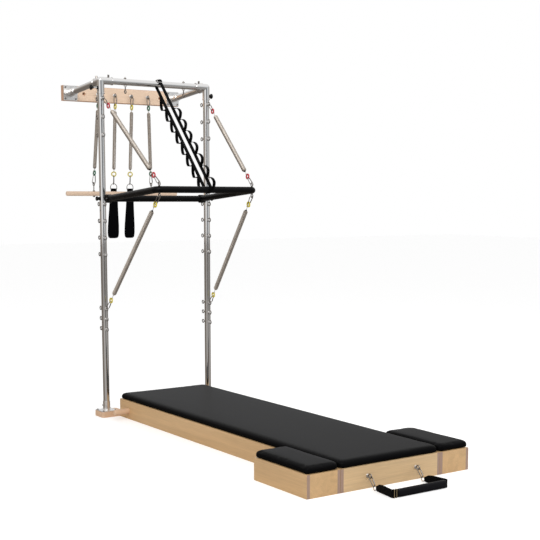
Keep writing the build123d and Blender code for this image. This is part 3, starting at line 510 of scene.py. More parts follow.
def woven(name, linear, rib, rough=0.75):
    """Woven polyester webbing: ribs across its run, read from the piece's own map in metres.

    The ribs, rib metres apart, are coarser than the real 1 mm threads, so that they show.
    """
    made, tree, base = start_finish(name)
    run = add_node(tree, "ShaderNodeUVMap", uv_map="run").outputs["UV"]
    ribs = add_node(tree, "ShaderNodeTexWave", {"Vector": run, "Scale": WAVE / rib, "Distortion": 0.3,
                                                "Detail": 1.0}, bands_direction="Y").outputs["Fac"]
    cross = add_node(tree, "ShaderNodeTexWave", {"Vector": run, "Scale": WAVE / (rib * 1.41)},
                     bands_direction="X").outputs["Fac"]
    weave = add_node(tree, "ShaderNodeMath", {0: ribs, 1: cross}, operation="MULTIPLY").outputs[0]
    ramp = add_node(tree, "ShaderNodeValToRGB", {"Fac": weave})
    for stop, factor in zip(ramp.color_ramp.elements, (0.7, 1.5)):
        stop.color = tone(linear, factor)
    tree.links.new(ramp.outputs["Color"], base.inputs["Base Color"])
    lift = add_node(tree, "ShaderNodeBump", {"Height": weave, "Strength": 0.5, "Distance": 0.0004})
    tree.links.new(lift.outputs["Normal"], base.inputs["Normal"])
    for socket, value in (("Roughness", rough), ("Specular IOR Level", 0.08), ("Sheen Weight", 0.02),
                          ("Sheen Roughness", 0.5)):
        base.inputs[socket].default_value = value
    return made


def make_finishes():
    """All finishes, by the plain name of what the real one is."""
    c = bpy.context.scene.tower_colours
    along_x, along_z = (0.03, 1.0, 1.0), (1.0, 1.0, 0.05)
    made = {
        # stretched over foam: leather-like grain about 2.4 mm wide, a soft broad sheen, cool black; painted
        # shade lowers the sheen down the sides
        "vinyl": painted_side_shade(dressed("upholstery_vinyl", c.vinyl, 0.44, 2.381, 0.10, bump=0.35,
                                      depth=0.4, detail=4.0), 0.015, 0.046),
        # clear lacquer: a low shine; the long sides, which stand in the mat's shade, get a darker and warmer
        # colour as painted shade
        "ply_sides": plywood("birch_plywood_sides_shaded", 1, PLY_EDGES, (0.915, 0.84, 0.75)),
        "ply_ends": plywood("birch_plywood_ends", 0),
        # steamed maple under clear satin lacquer: pinkish, with faint long streaks about 6 mm wide
        "board": darker_edges(dressed("lacquered_maple_board", c.maple, 0.42, 5.882, 0.07,
                                      grain=(0.04, 1.0, 1.0), bump=0.06, detail=4.0, Coat_Weight=0.15),
                              "Y", (0.62, 0.48, 0.40)),
        # the same wood turned to a rod: a little darker, with narrower streaks
        "dowel": dressed("lacquered_maple_dowel", tuple(v * 0.86 for v in c.maple), 0.42, 4.762, 0.09,
                         grain=along_x, bump=0.06, detail=4.0, Coat_Weight=0.15),
        # oiled, not lacquered: matt, with open streaks about 7 mm wide
        "block": dressed("oiled_wood_block", c.block, 0.5, 6.667, 0.10, grain=(0.05, 1.0, 1.0),
                         bump=0.08, detail=4.0),
        "peg": dressed("oiled_wood_peg", c.block, 0.45, 5.0, 0.09, grain=along_x, bump=0.06, detail=4.0),
        # bent wire, lightly dulled: a warm yellow metal
        "brass": dressed("brass_wire_ring", c.brass, 0.3, 5.0, 0.06, metallic=1.0),
        # bright plating on drawn tube: mirror-like, with very faint drawing lines
        "chrome": dressed("chromed_steel_tube", c.chrome, 0.07, 6.25, 0.01, metallic=1.0, grain=along_z,
                          rough_spread=0.02),
        # zinc plate on castings, plates and screws: pale and slightly cloudy, in clouds of 11 mm
        "steel": dressed("zinc_plated_steel", c.steel, 0.3, 11.11, 0.10, metallic=1.0, rough_spread=0.08,
                         bump=0.05, depth=0.3),
        # drop-forged eyes and bent hooks: a darker colour than the plates' steel, painted shade that dims
        # these small parts' reflections; brighter where it rubs
        "forged": dressed("forged_steel_darkened_for_shade", c.forged, 0.26, 7.143, 0.14, metallic=1.0,
                          rough_spread=0.08, bump=0.05),
        # drawn wire under dull nickel: satin, so the coils shade into a soft ribbed tube
        "spring": dressed("nickel_plated_spring_wire", c.spring, 0.50, 3.333, 0.06, metallic=1.0),
        # epoxy powder on steel: deep black with slight orange peel, 1.4 mm across
        "powder": dressed("black_powder_coat", c.powder, 0.38, 1.429, 0.06, bump=0.12,
                          Specular_IOR_Level=0.12),
        # moulded nylon: black, with the fine grain of its mould
        "plastic": dressed("moulded_black_nylon", c.plastic, 0.34, 1.111, 0.08, bump=0.05,
                           Specular_IOR_Level=0.25),
        # flat woven tape and thick thread: matt, ribbed across their run
        "webbing": woven("black_polyester_webbing", tuple(c.webbing), 0.00223),
        "thread": woven("waxed_polyester_thread", tuple(c.thread), 0.00253, rough=0.6),
        # knitted fabric laminated to foam: matt; its 1 mm knit is drawn 1.9 mm wide to show
        "padding": dressed("padded_neoprene", c.padding, 0.62, 1.923, 0.14, bump=0.3, depth=0.3,
                           Specular_IOR_Level=0.05),
        # coated nylon over the foot strap's foam: satin, blue-black
        "sleeve": dressed("coated_nylon_sleeve", c.sleeve, 0.42, 1.667, 0.10, bump=0.15, depth=0.3,
                          Specular_IOR_Level=0.16),
    }
    # steel rings dipped in soft plastic: even colour under a clear wet-looking skin
    for name in ("red", "yellow", "green"):
        made[name] = dressed(f"{name}_plastic_dip", getattr(c, name), 0.35, 2.5, 0.08, Coat_Weight=0.3)
    return made


# where the side panels' cut edges show at the foot end, each with half its thickness
PLY_EDGES = ((0.321, 0.0091), (0.341, 0.0091), (0.528, 0.0091))
# one band of a wave pattern at a scale of 1 is this long
WAVE = math.pi / 10
FINISH = {}


def use(*names):
    """The finishes of these names, as one list for a piece."""
    return [FINISH[name] for name in names]


def dress_node(node, finish):
    """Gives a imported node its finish, with its mesh as it is."""
    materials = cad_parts[node].data.materials
    materials.clear()
    materials.append(FINISH[finish])


def finish_piece(nodes):
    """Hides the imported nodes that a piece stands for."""
    if nodes:
        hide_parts(*nodes)


def settle(item, body, nodes):
    """Rides a finished piece on its body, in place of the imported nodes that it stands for."""
    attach(item, body)
    finish_piece(nodes)


# ---- hardware ---------------------------------------------------------------------------------
def hex_nut(shape, origin, axis, across=0.014, height=0.006):
    """A hexagon nut: a six-sided profile with chamfered ends."""
    r = across / math.sqrt(3)
    chamfer = height * 0.18
    turn(shape, origin, axis, [(r * 0.86, 0), (r, chamfer), (r, height - chamfer), (r * 0.86, height)], 6)


def eyebolt(shape, centre, way, reach, nut=True, wire=None, hole=0.016):
    """A forged eye: a round ring whose hole runs along X, its neck, a washer and a nut."""
    wire = wire or sizes().eye_wire
    centre = np.asarray(centre, float)
    way = unit(way)
    radius = (hole + wire) / 2
    neck = 0.0037
    carry(shape, ring_path(centre, X, radius, 22), X, circle(wire / 2, 10), closed=True)
    turn(shape, centre + way * radius, way, [(wire * 0.35, 0), (neck, 0.004), (neck, reach - radius)], 14)
    if nut:
        washer_r, washer_thick = 0.0105, 0.0015
        seat = centre + way * reach
        shape.tint = 1
        turn(shape, seat - way * 0.0016, way, [(washer_r, 0), (washer_r, washer_thick)], 20)
        hex_nut(shape, seat - way * 0.0076, way, 0.016)
        shape.tint = 0


def settle_eyes(shape, name, body, node):
    """Finishes a group of eyes: forged steel, with their nuts and washers of zinc-plated steel."""
    settle(shape.make(name, use("forged", "steel")), body, (node,))


def settle_links(shape, name, colour_name, body, node):
    """Finishes a group of hooks with their rings of one colour."""
    settle(shape.make(name, use("forged", colour_name)), body, (node,))


def pear(pin, way, across, reach, wide, narrow, step=0.0025):
    """The closed line of a pear-shaped hook: two arcs joined by their common tangents.

    Its wide end's bar crosses at pin, and its narrow end's bar is reach further along way.
    """
    way = unit(way)
    across = squared(across, way)
    span = reach - wide - narrow
    lean = math.degrees(math.asin((wide - narrow) / span))
    near = np.asarray(pin) + way * wide
    far = near + way * span
    big = arc(near, way, across, wide, 90 - lean, 270 + lean, 20)
    small = arc(far, way, across, narrow, -90 + lean, 90 - lean, 12)
    return evened(np.concatenate([big, small]), step, closed=True)


def snap_hook(shape, pin, way, across, reach, wide=0.0115, narrow=0.0062):
    """A snap hook: the pear of round wire, the gate's thicker sleeve and its pivot rivet."""
    wire = sizes().link_wire
    way = unit(way)
    across = squared(across, way)
    face = np.cross(way, across)
    carry(shape, pear(pin, way, across, reach, wide, narrow), face, circle(wire / 2, 8), closed=True)
    start = np.asarray(pin) + way * wide * 1.3 + across * wide * 0.97
    end = np.asarray(pin) + way * (reach - narrow * 1.6) + across * narrow * 1.25
    gate = start + (end - start) * np.linspace(0, 1, 6)[:, None]
    carry(shape, gate, face, lozenge(wire * 1.25, wire * 1.15, wire * 0.4, 4))
    rivet, head = 0.0014, 0.0019
    turn(shape, end - face * wire * 0.8, face, [(rivet, 0), (head, 0.0004), (head, wire * 1.5),
                                                (rivet, wire * 1.6)], 12)


def flat_ring(shape, centre, axis):
    """A colour ring of flattened stock round an axis."""
    stock, thick = 0.0073, 0.0080
    carry(shape, ring_path(centre, axis, (sizes().ring_width - stock) / 2, 32), axis,
          lozenge(thick, stock, 0.0016, 3), closed=True)


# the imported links' spacing: hook bar, ring, spring loop
SEAT = 0.0032  # from an eye's middle to the bar of the hook that hangs in it
LINK_GAP = 0.0008
RING_R = 0.018
RING_STOCK = 0.007
HOOK_STOCK = 0.005
LOOP_HOLE = 0.012
LOOP_GAP = 0.0015
LOOP_ACROSS = X * math.sin(math.radians(34)) + Y * math.cos(math.radians(34))


def ring_at(reach):
    """How far the colour ring's middle is from a hook's near bar."""
    return reach - HOOK_STOCK / 2 - LINK_GAP + RING_R - RING_STOCK


def loop_at(reach):
    """How far a spring's end loop is from a hook's near bar."""
    return ring_at(reach) + RING_R - RING_STOCK - LOOP_GAP + LOOP_HOLE / 2


def colour_link(shape, pin, way, across, reach, hook=True, ring=True):
    """A snap hook (tint 0) with the colour ring after it (tint 1)."""
    way = unit(way)
    shape.tint = 0
    if hook:
        snap_hook(shape, pin, way, across, reach)
    if ring:
        shape.tint = 1
        flat_ring(shape, np.asarray(pin) + way * ring_at(reach), squared(across, way))
    shape.tint = 0


def coil_spring(shape, near, far, width, wire, reach, start, across=(X, X), plug=False):
    """A close-wound spring: a helix that tapers at both ends, with a wire loop at each end.

    Point = axis point at height h + r(h) * (cos t, sin t), where t grows one turn per wire
    thickness, and r(h) rises from the tip's radius to the body's over the taper. The helix begins
    at start from each end's hook, whose length is reach. A plug closes its far end.
    """
    near, far = np.asarray(near, float), np.asarray(far, float)
    way = unit(far - near)
    body = np.linalg.norm(far - near) - 2 * start
    taper, tip = 0.010, 0.0062
    turns = int(body / (wire * 1.02))
    per_turn = 14
    t = np.arange(turns * per_turn + 1) * 2 * math.pi / per_turn
    height = body * t / t[-1]
    first, second = square_pair(way)
    rim = (width - wire) / 2
    r = np.interp(height, [0, taper, body - taper, body], [tip, rim, rim, tip])
    spoke = np.cos(t)[:, None] * first + np.sin(t)[:, None] * second
    carry(shape, near + way * (start + height)[:, None] + spoke * r[:, None], spoke, circle(wire / 2, 6))
    loop_wire, loop_r = 0.0014, LOOP_HOLE / 2 + 0.0014
    for pin, direction, side in ((near, way, across[0]), (far, -way, across[1])):
        axis = np.cross(direction, squared(side, direction))
        centre = pin + direction * loop_at(reach)
        carry(shape, ring_path(centre, axis, loop_r, 20), axis, circle(loop_wire, 7), closed=True)
        stub = start + 0.004 - loop_at(reach) - loop_r
        turn(shape, centre + direction * loop_r, direction,
             [(0.0013, 0), (0.0016, 0.002), (0.0016, stub)], 10)
    if plug:
        shape.tint = 1
        turn(shape, far - way * (start - 0.006), -way,
             [(0.0030, 0), (0.0052, 0.0015), (0.0074, 0.010), (0.0068, 0.011)], 20)
        shape.tint = 0


KNOB_TALL = 0.018


def knob(shape, origin, way, width, neck):
    """A mushroom knob: a cone that widens from its collar to a rounded grip and a shallow dome."""
    r = width / 2
    profile = [(r * 0.46, -neck), (r * 0.50, -neck * 0.6), (r * 0.42, -neck * 0.15), (r * 0.52, 0.001),
               (r * 0.80, 0.005), (r * 0.97, 0.0085), (r, 0.0112), (r * 0.97, 0.0138), (r * 0.86, 0.0160),
               (r * 0.62, 0.0174), (r * 0.25, KNOB_TALL)]
    turn(shape, origin, way, profile, 36)


# ---- soft goods -------------------------------------------------------------------------------
def rounded_outline(low, high, radii):
    """A rectangle's outline from above with its own radius at each corner, anticlockwise."""
    corners = ((high[0], high[1], -1, -1, 0), (low[0], high[1], 1, -1, 90),
               (low[0], low[1], 1, 1, 180), (high[0], low[1], -1, 1, 270))
    rows = [arc((x + i * r, y + j * r, 0), X, Y, r, begin, begin + 90, 10)
            for (x, y, i, j, begin), r in zip(corners, radii)]
    return evened(np.concatenate(rows), 0.012, closed=True)[:, :2]


def cushion(name, low, high, radii, crown):
    """An upholstered pad: its outline stacked up its sides, over a rounded edge and to its middle.

    Row i is the outline drawn in by inset_i at height_i, from a tuck under its foot. Past the edge
    the rows shrink towards the middle and rise with the crown.
    """
    edge_r = 0.019
    outline = rounded_outline(low, high, radii)
    centre, half = (low[:2] + high[:2]) / 2, (high[:2] - low[:2]) / 2
    bottom, top = low[2], high[2]
    a = np.linspace(0, math.pi / 2, 7)
    inset = np.concatenate([[0.0035, 0.0012, 0.0], edge_r * (1 - np.cos(a))])
    height = np.concatenate([bottom + np.array((0.0004, 0.0018, 0.008)),
                             top - edge_r + edge_r * np.sin(a)])
    rings = [centre + (outline - centre) * (1 - drawn / half) for drawn in inset]
    steps = np.linspace(0.96, 0.02, 26)
    rings += [centre + (rings[-1] - centre) * step for step in steps]
    height = np.concatenate([height, top + crown * (1 - steps ** 4)])
    levels = np.broadcast_to(height[:, None, None], (len(height), len(outline), 1))
    grid = np.concatenate([np.stack(rings), levels], -1)
    shape = Shape()
    index = shape.grid(grid, distances(outline, closed=True), distances(grid[:, 0]))
    shape.cap(index[0, :-1][::-1], outline[::-1])
    shape.cap(index[-1, :-1], outline)
    return shape.make(name, use("vinyl"), 180.0)


def bake(item):
    """Applies every modifier on a piece."""
    graph = bpy.context.evaluated_depsgraph_get()
    solid = bpy.data.meshes.new_from_object(item.evaluated_get(graph))
    old = item.data
    item.modifiers.clear()
    item.data = solid
    if not solid.materials and old.materials:
        solid.materials.append(old.materials[0])
    bpy.data.meshes.remove(old)


def blow_up(item, voxel, keep, cap=0.004, frames=14):
    """Remeshes the pad, fills it with air as cloth, and caps how far each point may go.

    keep gives the lowest and highest place along axes that no point may leave.
    """
    remesh = item.modifiers.new("even", "REMESH")
    remesh.mode = "VOXEL"
    remesh.voxel_size = voxel
    bake(item)
    rest = points_of(item.data)
    air = item.modifiers.new("air", "CLOTH")
    stiff = {"quality": 5, "mass": 0.4, "tension_stiffness": 25.0, "compression_stiffness": 25.0,
             "bending_stiffness": 2.0, "use_pressure": True, "uniform_pressure_force": 4.0}
    for name, value in stiff.items():
        setattr(air.settings, name, value)
    air.settings.effector_weights.gravity = 0.0
    air.point_cache.frame_start = 1
    air.point_cache.frame_end = frames
    for number in range(1, frames + 1):
        bpy.context.scene.frame_set(number)
    bake(item)
    bpy.context.scene.frame_set(1)
    moved = points_of(item.data) - rest
    far = np.linalg.norm(moved, axis=1, keepdims=True)
    placed = rest + moved * np.minimum(1.0, cap / np.maximum(far, 1e-9))
    for axis, (lowest, highest) in keep.items():
        placed[:, axis] = np.clip(placed[:, axis], lowest, highest)
    item.data.vertices.foreach_set("co", placed.astype(np.float32).ravel())
    smooth = item.modifiers.new("even", "SMOOTH")
    smooth.factor = 0.5
    smooth.iterations = 3
    bake(item)
    item.data.polygons.foreach_set("use_smooth", np.ones(len(item.data.polygons), bool))
    item.data.update()


def band(shape, path, side, width, thick, scale=(1.0, 1.0)):
    """Flat webbing along a path: a thin rectangle whose width lies along side."""
    carry(shape, path, side, lozenge(width, thick, thick * 0.42, 4), scale=scale)


# ---- operators --------------------------------------------------------------------------------
class Maker(bpy.types.Operator):
    bl_options = {"REGISTER", "UNDO"}


class TOWER_OT_finishes(Maker):
    """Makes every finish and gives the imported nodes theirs"""
    bl_idname = "tower.finishes"
    bl_label = "Finishes"

    def execute(self, context):
        FINISH.update(make_finishes())
        worn = {
            "ply_sides": ("mat_side_panels", "wing_panels"),
            "ply_ends": ("mat_end_panels", "mat_ribs", "mat_decks"),
            "board": ("wall_board",),
            "block": ("foot_blocks",),
            "dowel": ("roll_down_bar",),
            "peg": ("hand_peg",),
            "vinyl": ("mat_pad", "left_wing_pad", "right_wing_pad"),
            "chrome": ("left_upright", "right_upright", "top_bar", "side_arms",
                       "left_corner_elbow", "right_corner_elbow"),
            "steel": ("foot_flanges", "wall_flanges"),
            "forged": ("set_screws", "flange_screws", "wing_bolts"),
            "powder": ("push_bar_tube", "push_bar_rear_tube"),
            "plastic": ("push_bar_pivot_blocks",),
        }
        for finish, nodes in worn.items():
            for node in nodes:
                dress_node(node, finish)
        return {"FINISHED"}


# each pad's corner radii, anticlockwise from its far right one, and its cloth's grid
PADS = (("mat_pad", (0.012, 0.012, 0.024, 0.024), 0.009),
        ("left_wing_pad", (0.012, 0.010, 0.020, 0.028), 0.006),
        ("right_wing_pad", (0.044, 0.012, 0.026, 0.010), 0.006))


class TOWER_OT_mat_pads(Maker):
    """Upholsters the long mat and the two wing pads"""
    bl_idname = "tower.mat_pads"
    bl_label = "Mat pads"

    def execute(self, context):
        crown = sizes().pad_crown
        pull, skin, swell = 0.0015, 0.0002, 0.004
        for name, radii, voxel in PADS:
            low, high = box(name)
            keep = {0: (low[0] + skin, high[0] - skin), 2: (low[2] + skin, high[2] + swell)}
            item = cushion(f"{name}_cover", low + (pull, pull, 0), high - (pull, pull, crown), radii, crown)
            blow_up(item, voxel, keep)
            settle(item, ROOT, (name,))
        return {"FINISHED"}


class TOWER_OT_eyebolts(Maker):
    """Makes the eyebolts of the posts, top bar, wall board, mat and bars"""
    bl_idname = "tower.eyebolts"
    bl_label = "Eyebolts"

    def execute(self, context):
        seat = POST_R + 0.0001
        for name, side in SIDES:
            shape = Shape()
            for z in EYE_HEIGHTS:
                for y, wire, hole in ((FRONT_EYE_Y, 0.0060, 0.0195), (REAR_EYE_Y, None, 0.016)):
                    eyebolt(shape, (side * POST_X, y, z), (0, POST_Y - y, 0), abs(POST_Y - y) - seat,
                            wire=wire, hole=hole)
            settle_eyes(shape, f"{name}_post_eyes", ROOT, f"{name}_upright_eyebolts")
        top, wall, bar, roll, strap = (Shape() for _ in range(5))
        nut_height = 0.0068
        for x in row_of("top_bar_eyebolts", 0):
            eyebolt(top, (x, POST_Y, TOP_EYE_Z), Z, TOP_Z - TOP_EYE_Z - seat)
            above = np.array((x, POST_Y, TOP_Z + seat))
            hex_nut(top, above, Z, height=nut_height)
            turn(top, above + Z * nut_height, Z, [(0.0036, 0), (0.0036, 0.004), (0.003, 0.0048)], 14)
        for x in WALL_EYE_XS:
            eyebolt(wall, (x, WALL_EYE_Y, BOARD_Z), Y, WALL_EYE_OUT, nut=False)
            wall.tint = 1
            turn(wall, (x, BOARD_Y - 0.0032, BOARD_Z), Y,
                 [(0.0100, 0), (0.0125, 0.0012), (0.0125, 0.0031)], 20)
            wall.tint = 0
        for _, side in SIDES:
            for up in (-1, 1):
                spot = np.array((side * BAR_EYE_X, BAR_Y, BAR_Z))
                eyebolt(bar, spot + Z * up * BAR_EYE, Z * -up, BAR_EYE - BAR_R, nut=False)
                turn(bar, spot + Z * up * (BAR_R - 0.0008), Z * up,
                     [(0.007, 0), (0.007, 0.0022), (0.005, 0.003)], 20)
            # bolted right through the roll-down bar, with a washer and a nut below it
            spot = np.array((ROLL_X + side * ROLL_EYE_X, ROLL_Y, ROLL_Z))
            rise = ROLL_EYE_Z - ROLL_Z
            eyebolt(roll, spot + Z * rise, -Z, rise + 0.023, nut=False)
            hex_nut(roll, spot + Z * 0.0161, Z)
            turn(roll, spot - Z * 0.0176, Z, [(0.009, 0), (0.009, 0.0014)], 20)
            hex_nut(roll, spot - Z * 0.0236, Z)
            eyebolt(strap, (side * STRAP_EYE_X, STRAP_EYE_Y, STRAP_EYE_Z), Y, MAT_FRONT_Y - STRAP_EYE_Y)
        settle_eyes(top, "top_bar_eyes", ROOT, "top_bar_eyebolts")
        settle_eyes(wall, "wall_eyes", ROOT, "wall_eyebolts")
        settle_eyes(bar, "push_bar_eyes", PUSH_BAR, "push_bar_eyebolts")
        settle_eyes(roll, "roll_bar_eyes", ROLL_BAR, "roll_bar_eyebolts")
        settle_eyes(strap, "front_eyes", ROOT, "front_eyebolts")
        return {"FINISHED"}


class TOWER_OT_arm_springs(Maker):
    """Makes the push-through bar's four springs with their hooks and rings"""
    bl_idname = "tower.arm_springs"
    bl_label = "Arm springs"

    def execute(self, context):
        reach, start, slack = 0.068, 0.128, 0.006
        size = sizes()
        upper_post, lower_post, upper_bar, hooks, rings = (Shape() for _ in range(5))
        for name, side in SIDES:
            for level, z, up in (("upper", UPPER_HOOK_HEIGHT, 1), ("lower", LOWER_HOOK_HEIGHT, -1)):
                post = np.array((side * POST_X, FRONT_EYE_Y, z))
                bar = np.array((side * BAR_EYE_X, BAR_Y, BAR_Z + up * BAR_EYE))
                way = unit(bar - post)
                near, far = post + way * SEAT, bar - way * SEAT
                if level == "upper":
                    colour_link(upper_post, near, way, X, reach)
                    colour_link(upper_bar, far, -way, X, reach)
                else:
                    colour_link(lower_post, near, way, X, reach)
                    colour_link(hooks, far, -way, X, reach, ring=False)
                    far = far + way * slack
                    colour_link(rings, far, -way, X, reach, hook=False)
                shape = Shape()
                coil_spring(shape, near, far, size.arm_coil, size.arm_wire, reach, start, plug=True)
                item = shape.make(f"{name}_{level}_coil", use("spring", "plastic"))
                finish_piece((f"{name}_{level}_spring",))
                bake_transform(item)
        settle_links(upper_post, "upper_post_links", "red", ROOT, "upper_spring_post_links")
        settle_links(lower_post, "lower_post_links", "yellow", LOWER, "lower_spring_post_links")
        settle_links(upper_bar, "upper_bar_links", "red", PUSH_BAR, "upper_spring_bar_hooks")
        settle(hooks.make("lower_bar_snap_hooks", use("forged")), LOWER_HOOKS,
               ("lower_spring_bar_hooks",))
        settle_links(rings, "lower_bar_rings", "yellow", LOWER_RINGS, "lower_spring_bar_rings")
        return {"FINISHED"}


# the D-ring's half width and how far its straight bar lies below its middle
D_RING_R = 0.0245
D_RING_DROP = 0.014


def d_ring_centre(name):
    """The middle of a hand loop's D-ring, from the lowest points of its packed link."""
    points = points_of(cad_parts[f"{name}_loop_link"].data)
    low = points[:, 2].min()
    foot = points[points[:, 2] < low + 0.004, 0]
    return np.array(((foot.min() + foot.max()) / 2, WALL_EYE_Y, low + 0.0025 + D_RING_DROP))


def d_ring(shape, centre):
    """A welded D of round wire: a half circle above, two short legs and a straight bar below."""
    corner = 0.003
    low = centre - Z * (D_RING_DROP - corner)
    reach = X * (D_RING_R - corner)
    line = np.concatenate([arc(centre, X, Z, D_RING_R, 0, 180, 24),
                           arc(low - reach, X, Z, corner, 180, 270, 6),
                           arc(low + reach, X, Z, corner, 270, 360, 6)])
    carry(shape, evened(line, 0.0028, closed=True), -Y, circle(0.0024, 9), closed=True)


class TOWER_OT_wall_springs(Maker):
    """Makes the wall springs that carry the roll-down bar and the hand loops"""
    bl_idname = "tower.wall_springs"
    bl_label = "Wall springs"

    def execute(self, context):
        reach, start, clear = 0.065, 0.104, 0.13
        size = sizes()
        eyes = [np.array((x, WALL_EYE_Y, BOARD_Z)) for x in WALL_EYE_XS]
        wall, bar, coils, links = (Shape() for _ in range(4))
        for (_, side), eye in zip(SIDES, (eyes[0], eyes[3])):
            end = np.array((ROLL_X + side * ROLL_EYE_X, ROLL_Y, ROLL_EYE_Z))
            way = unit(end - eye)
            near, far = eye + way * SEAT, end - way * SEAT
            colour_link(wall, near, way, X, reach)
            colour_link(bar, far, -way, X, reach)
            coil_spring(coils, near, far, size.wall_coil, size.wall_wire, reach, start)
        settle_links(wall, "roll_wall_links", "green", ROLL, "roll_spring_wall_links")
        settle_links(bar, "roll_bar_links", "green", ROLL_BAR, "roll_spring_bar_links")
        item = coils.make("roll_bar_coils", use("spring"))
        finish_piece(("roll_bar_springs",))
        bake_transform(item)
        for (name, _), eye, body in zip(SIDES, eyes[1:3], (LEFT_LOOP, RIGHT_LOOP)):
            ring = d_ring_centre(name)
            far = ring + Z * (0.027 - HOOK_STOCK / 2 - 0.005 - LINK_GAP)
            way = unit(far - eye)
            near = eye + way * SEAT
            colour_link(links, near, way, X, reach)
            own, coil = Shape(), Shape()
            colour_link(own, far, -way, LOOP_ACROSS, reach)
            d_ring(own, ring)
            settle_links(own, f"{name}_loop_ring_and_hook", "yellow", body, f"{name}_loop_link")
            coil_spring(coil, near, far, size.wall_coil, size.wall_wire, reach, start, (X, LOOP_ACROSS))
            item = coil.make(f"{name}_loop_coil", use("spring"))
            finish_piece((f"{name}_loop_spring",))
            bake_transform(item)
        settle_links(links, "loop_wall_links", "yellow", ROOT, "loop_spring_wall_links")
        return {"FINISHED"}


def hand_loop(name, bar, bottom, full):
    """One hand loop: webbing over the ring's bar, and a padded sleeve down, round and up again.

    The sleeve's middle line is a long narrow U in the YZ plane. Its outline, a pillow section,
    widens from the webbing's 42 mm to 76 mm near the bottom, times full, and swells between its seams.
    """
    pad = sizes().loop_pad
    shape = Shape()
    x, y, z = bar
    half_gap = 0.0155 - pad / 2
    under_z = bottom + pad / 2 + 0.001 + half_gap
    start_z = z - 0.030
    front = np.array([(x, y - 0.0055, start_z), (x, y - half_gap * 0.8, z - 0.12),
                      (x, y - half_gap, under_z - half_gap + 0.08), (x, y - half_gap, under_z)])
    back = front[::-1] * (1, -1, 1) + (0, 2 * y, 0)
    under = arc((x, y, under_z), Y, Z, half_gap, 180, 360, 12)
    line = evened(np.concatenate([front, under[1:-1], back]), 0.006)
    for _ in range(3):
        line[1:-1] = (line[:-2] + 2 * line[1:-1] + line[2:]) / 4
    run = distances(line)
    down = 1 - np.abs(run / run[-1] * 2 - 1)
    lean, widest = 0.010, 0.076
    line[:, 0] -= lean * down
    wide = full / widest * np.interp(down, [0, 0.05, 0.3, 0.72, 0.88, 0.96, 1.0],
                                     [0.046, 0.053, 0.058, 0.0745, 0.0760, 0.0700, 0.0600])
    thick = np.interp(down, [0, 0.06, 0.5, 1.0], [0.55, 0.92, 1.0, 0.95])
    thick = thick * (1 + 0.03 * np.sin(run * 2 * math.pi / 0.023) * np.interp(down, [0.8, 0.95], [0, 1]))
    carry(shape, line, -X, pillow(widest / 2, pad / 2, 0.55, 0.62, 36) * (1, -1),
          scale=np.stack([wide, thick], -1))
    for _, side in SIDES:
        carry(shape, line + X * side * (0.0377 * wide)[:, None], -X, circle(0.0013, 6))
    shape.tint = 1
    over = np.concatenate([
        [(x, y - 0.0062, start_z - 0.012), (x, y - 0.0052, start_z)],
        arc(bar, Y, Z, 0.0044, 180, 0, 9),
        [(x, y + 0.0052, start_z), (x, y + 0.0062, start_z - 0.012)]])
    band(shape, evened(over, 0.003), X, 0.042, 0.0026)
    for below in (0.012, 0.022):
        stitch = np.array([(x + side * 0.018, y - 0.0068, z - below) for _, side in SIDES])
        carry(shape, stitch, Y, circle(0.0006, 5))
    return shape.make(f"{name}_padded_hand_loop", use("padding", "webbing"), 60.0)


class TOWER_OT_hand_loops(Maker):
    """Makes the padded hand loops on their webbing"""
    bl_idname = "tower.hand_loops"
    bl_label = "Hand loops"

    def execute(self, context):
        for (name, _), body, full in zip(SIDES, (LEFT_LOOP, RIGHT_LOOP), (1.0, 0.9)):
            node = f"{name}_hand_loop"
            item = hand_loop(name, d_ring_centre(name) - Z * D_RING_DROP, edge(node, 2, 0), full)
            settle(item, body, (node,))
        return {"FINISHED"}


# an ear or a hanging loop of the safety strap runs from one tack to the next: metres along Y and Z
EAR = ((0, 0), (-0.036, 0.008), (-0.074, 0.002), (-0.090, -0.026), (-0.094, -0.046),
       (-0.082, -0.062), (-0.071, -0.0755))
DROOP = ((0, 0), (0.007, -0.027), (0.007, -0.064), (-0.012, -0.081), (-0.029, -0.088),
         (-0.054, -0.082), (-0.070, -0.0745))
# the distance between the tacks along the strap, behind it and in front
DROOP_PITCH, EAR_PITCH = 0.1023, 0.1037


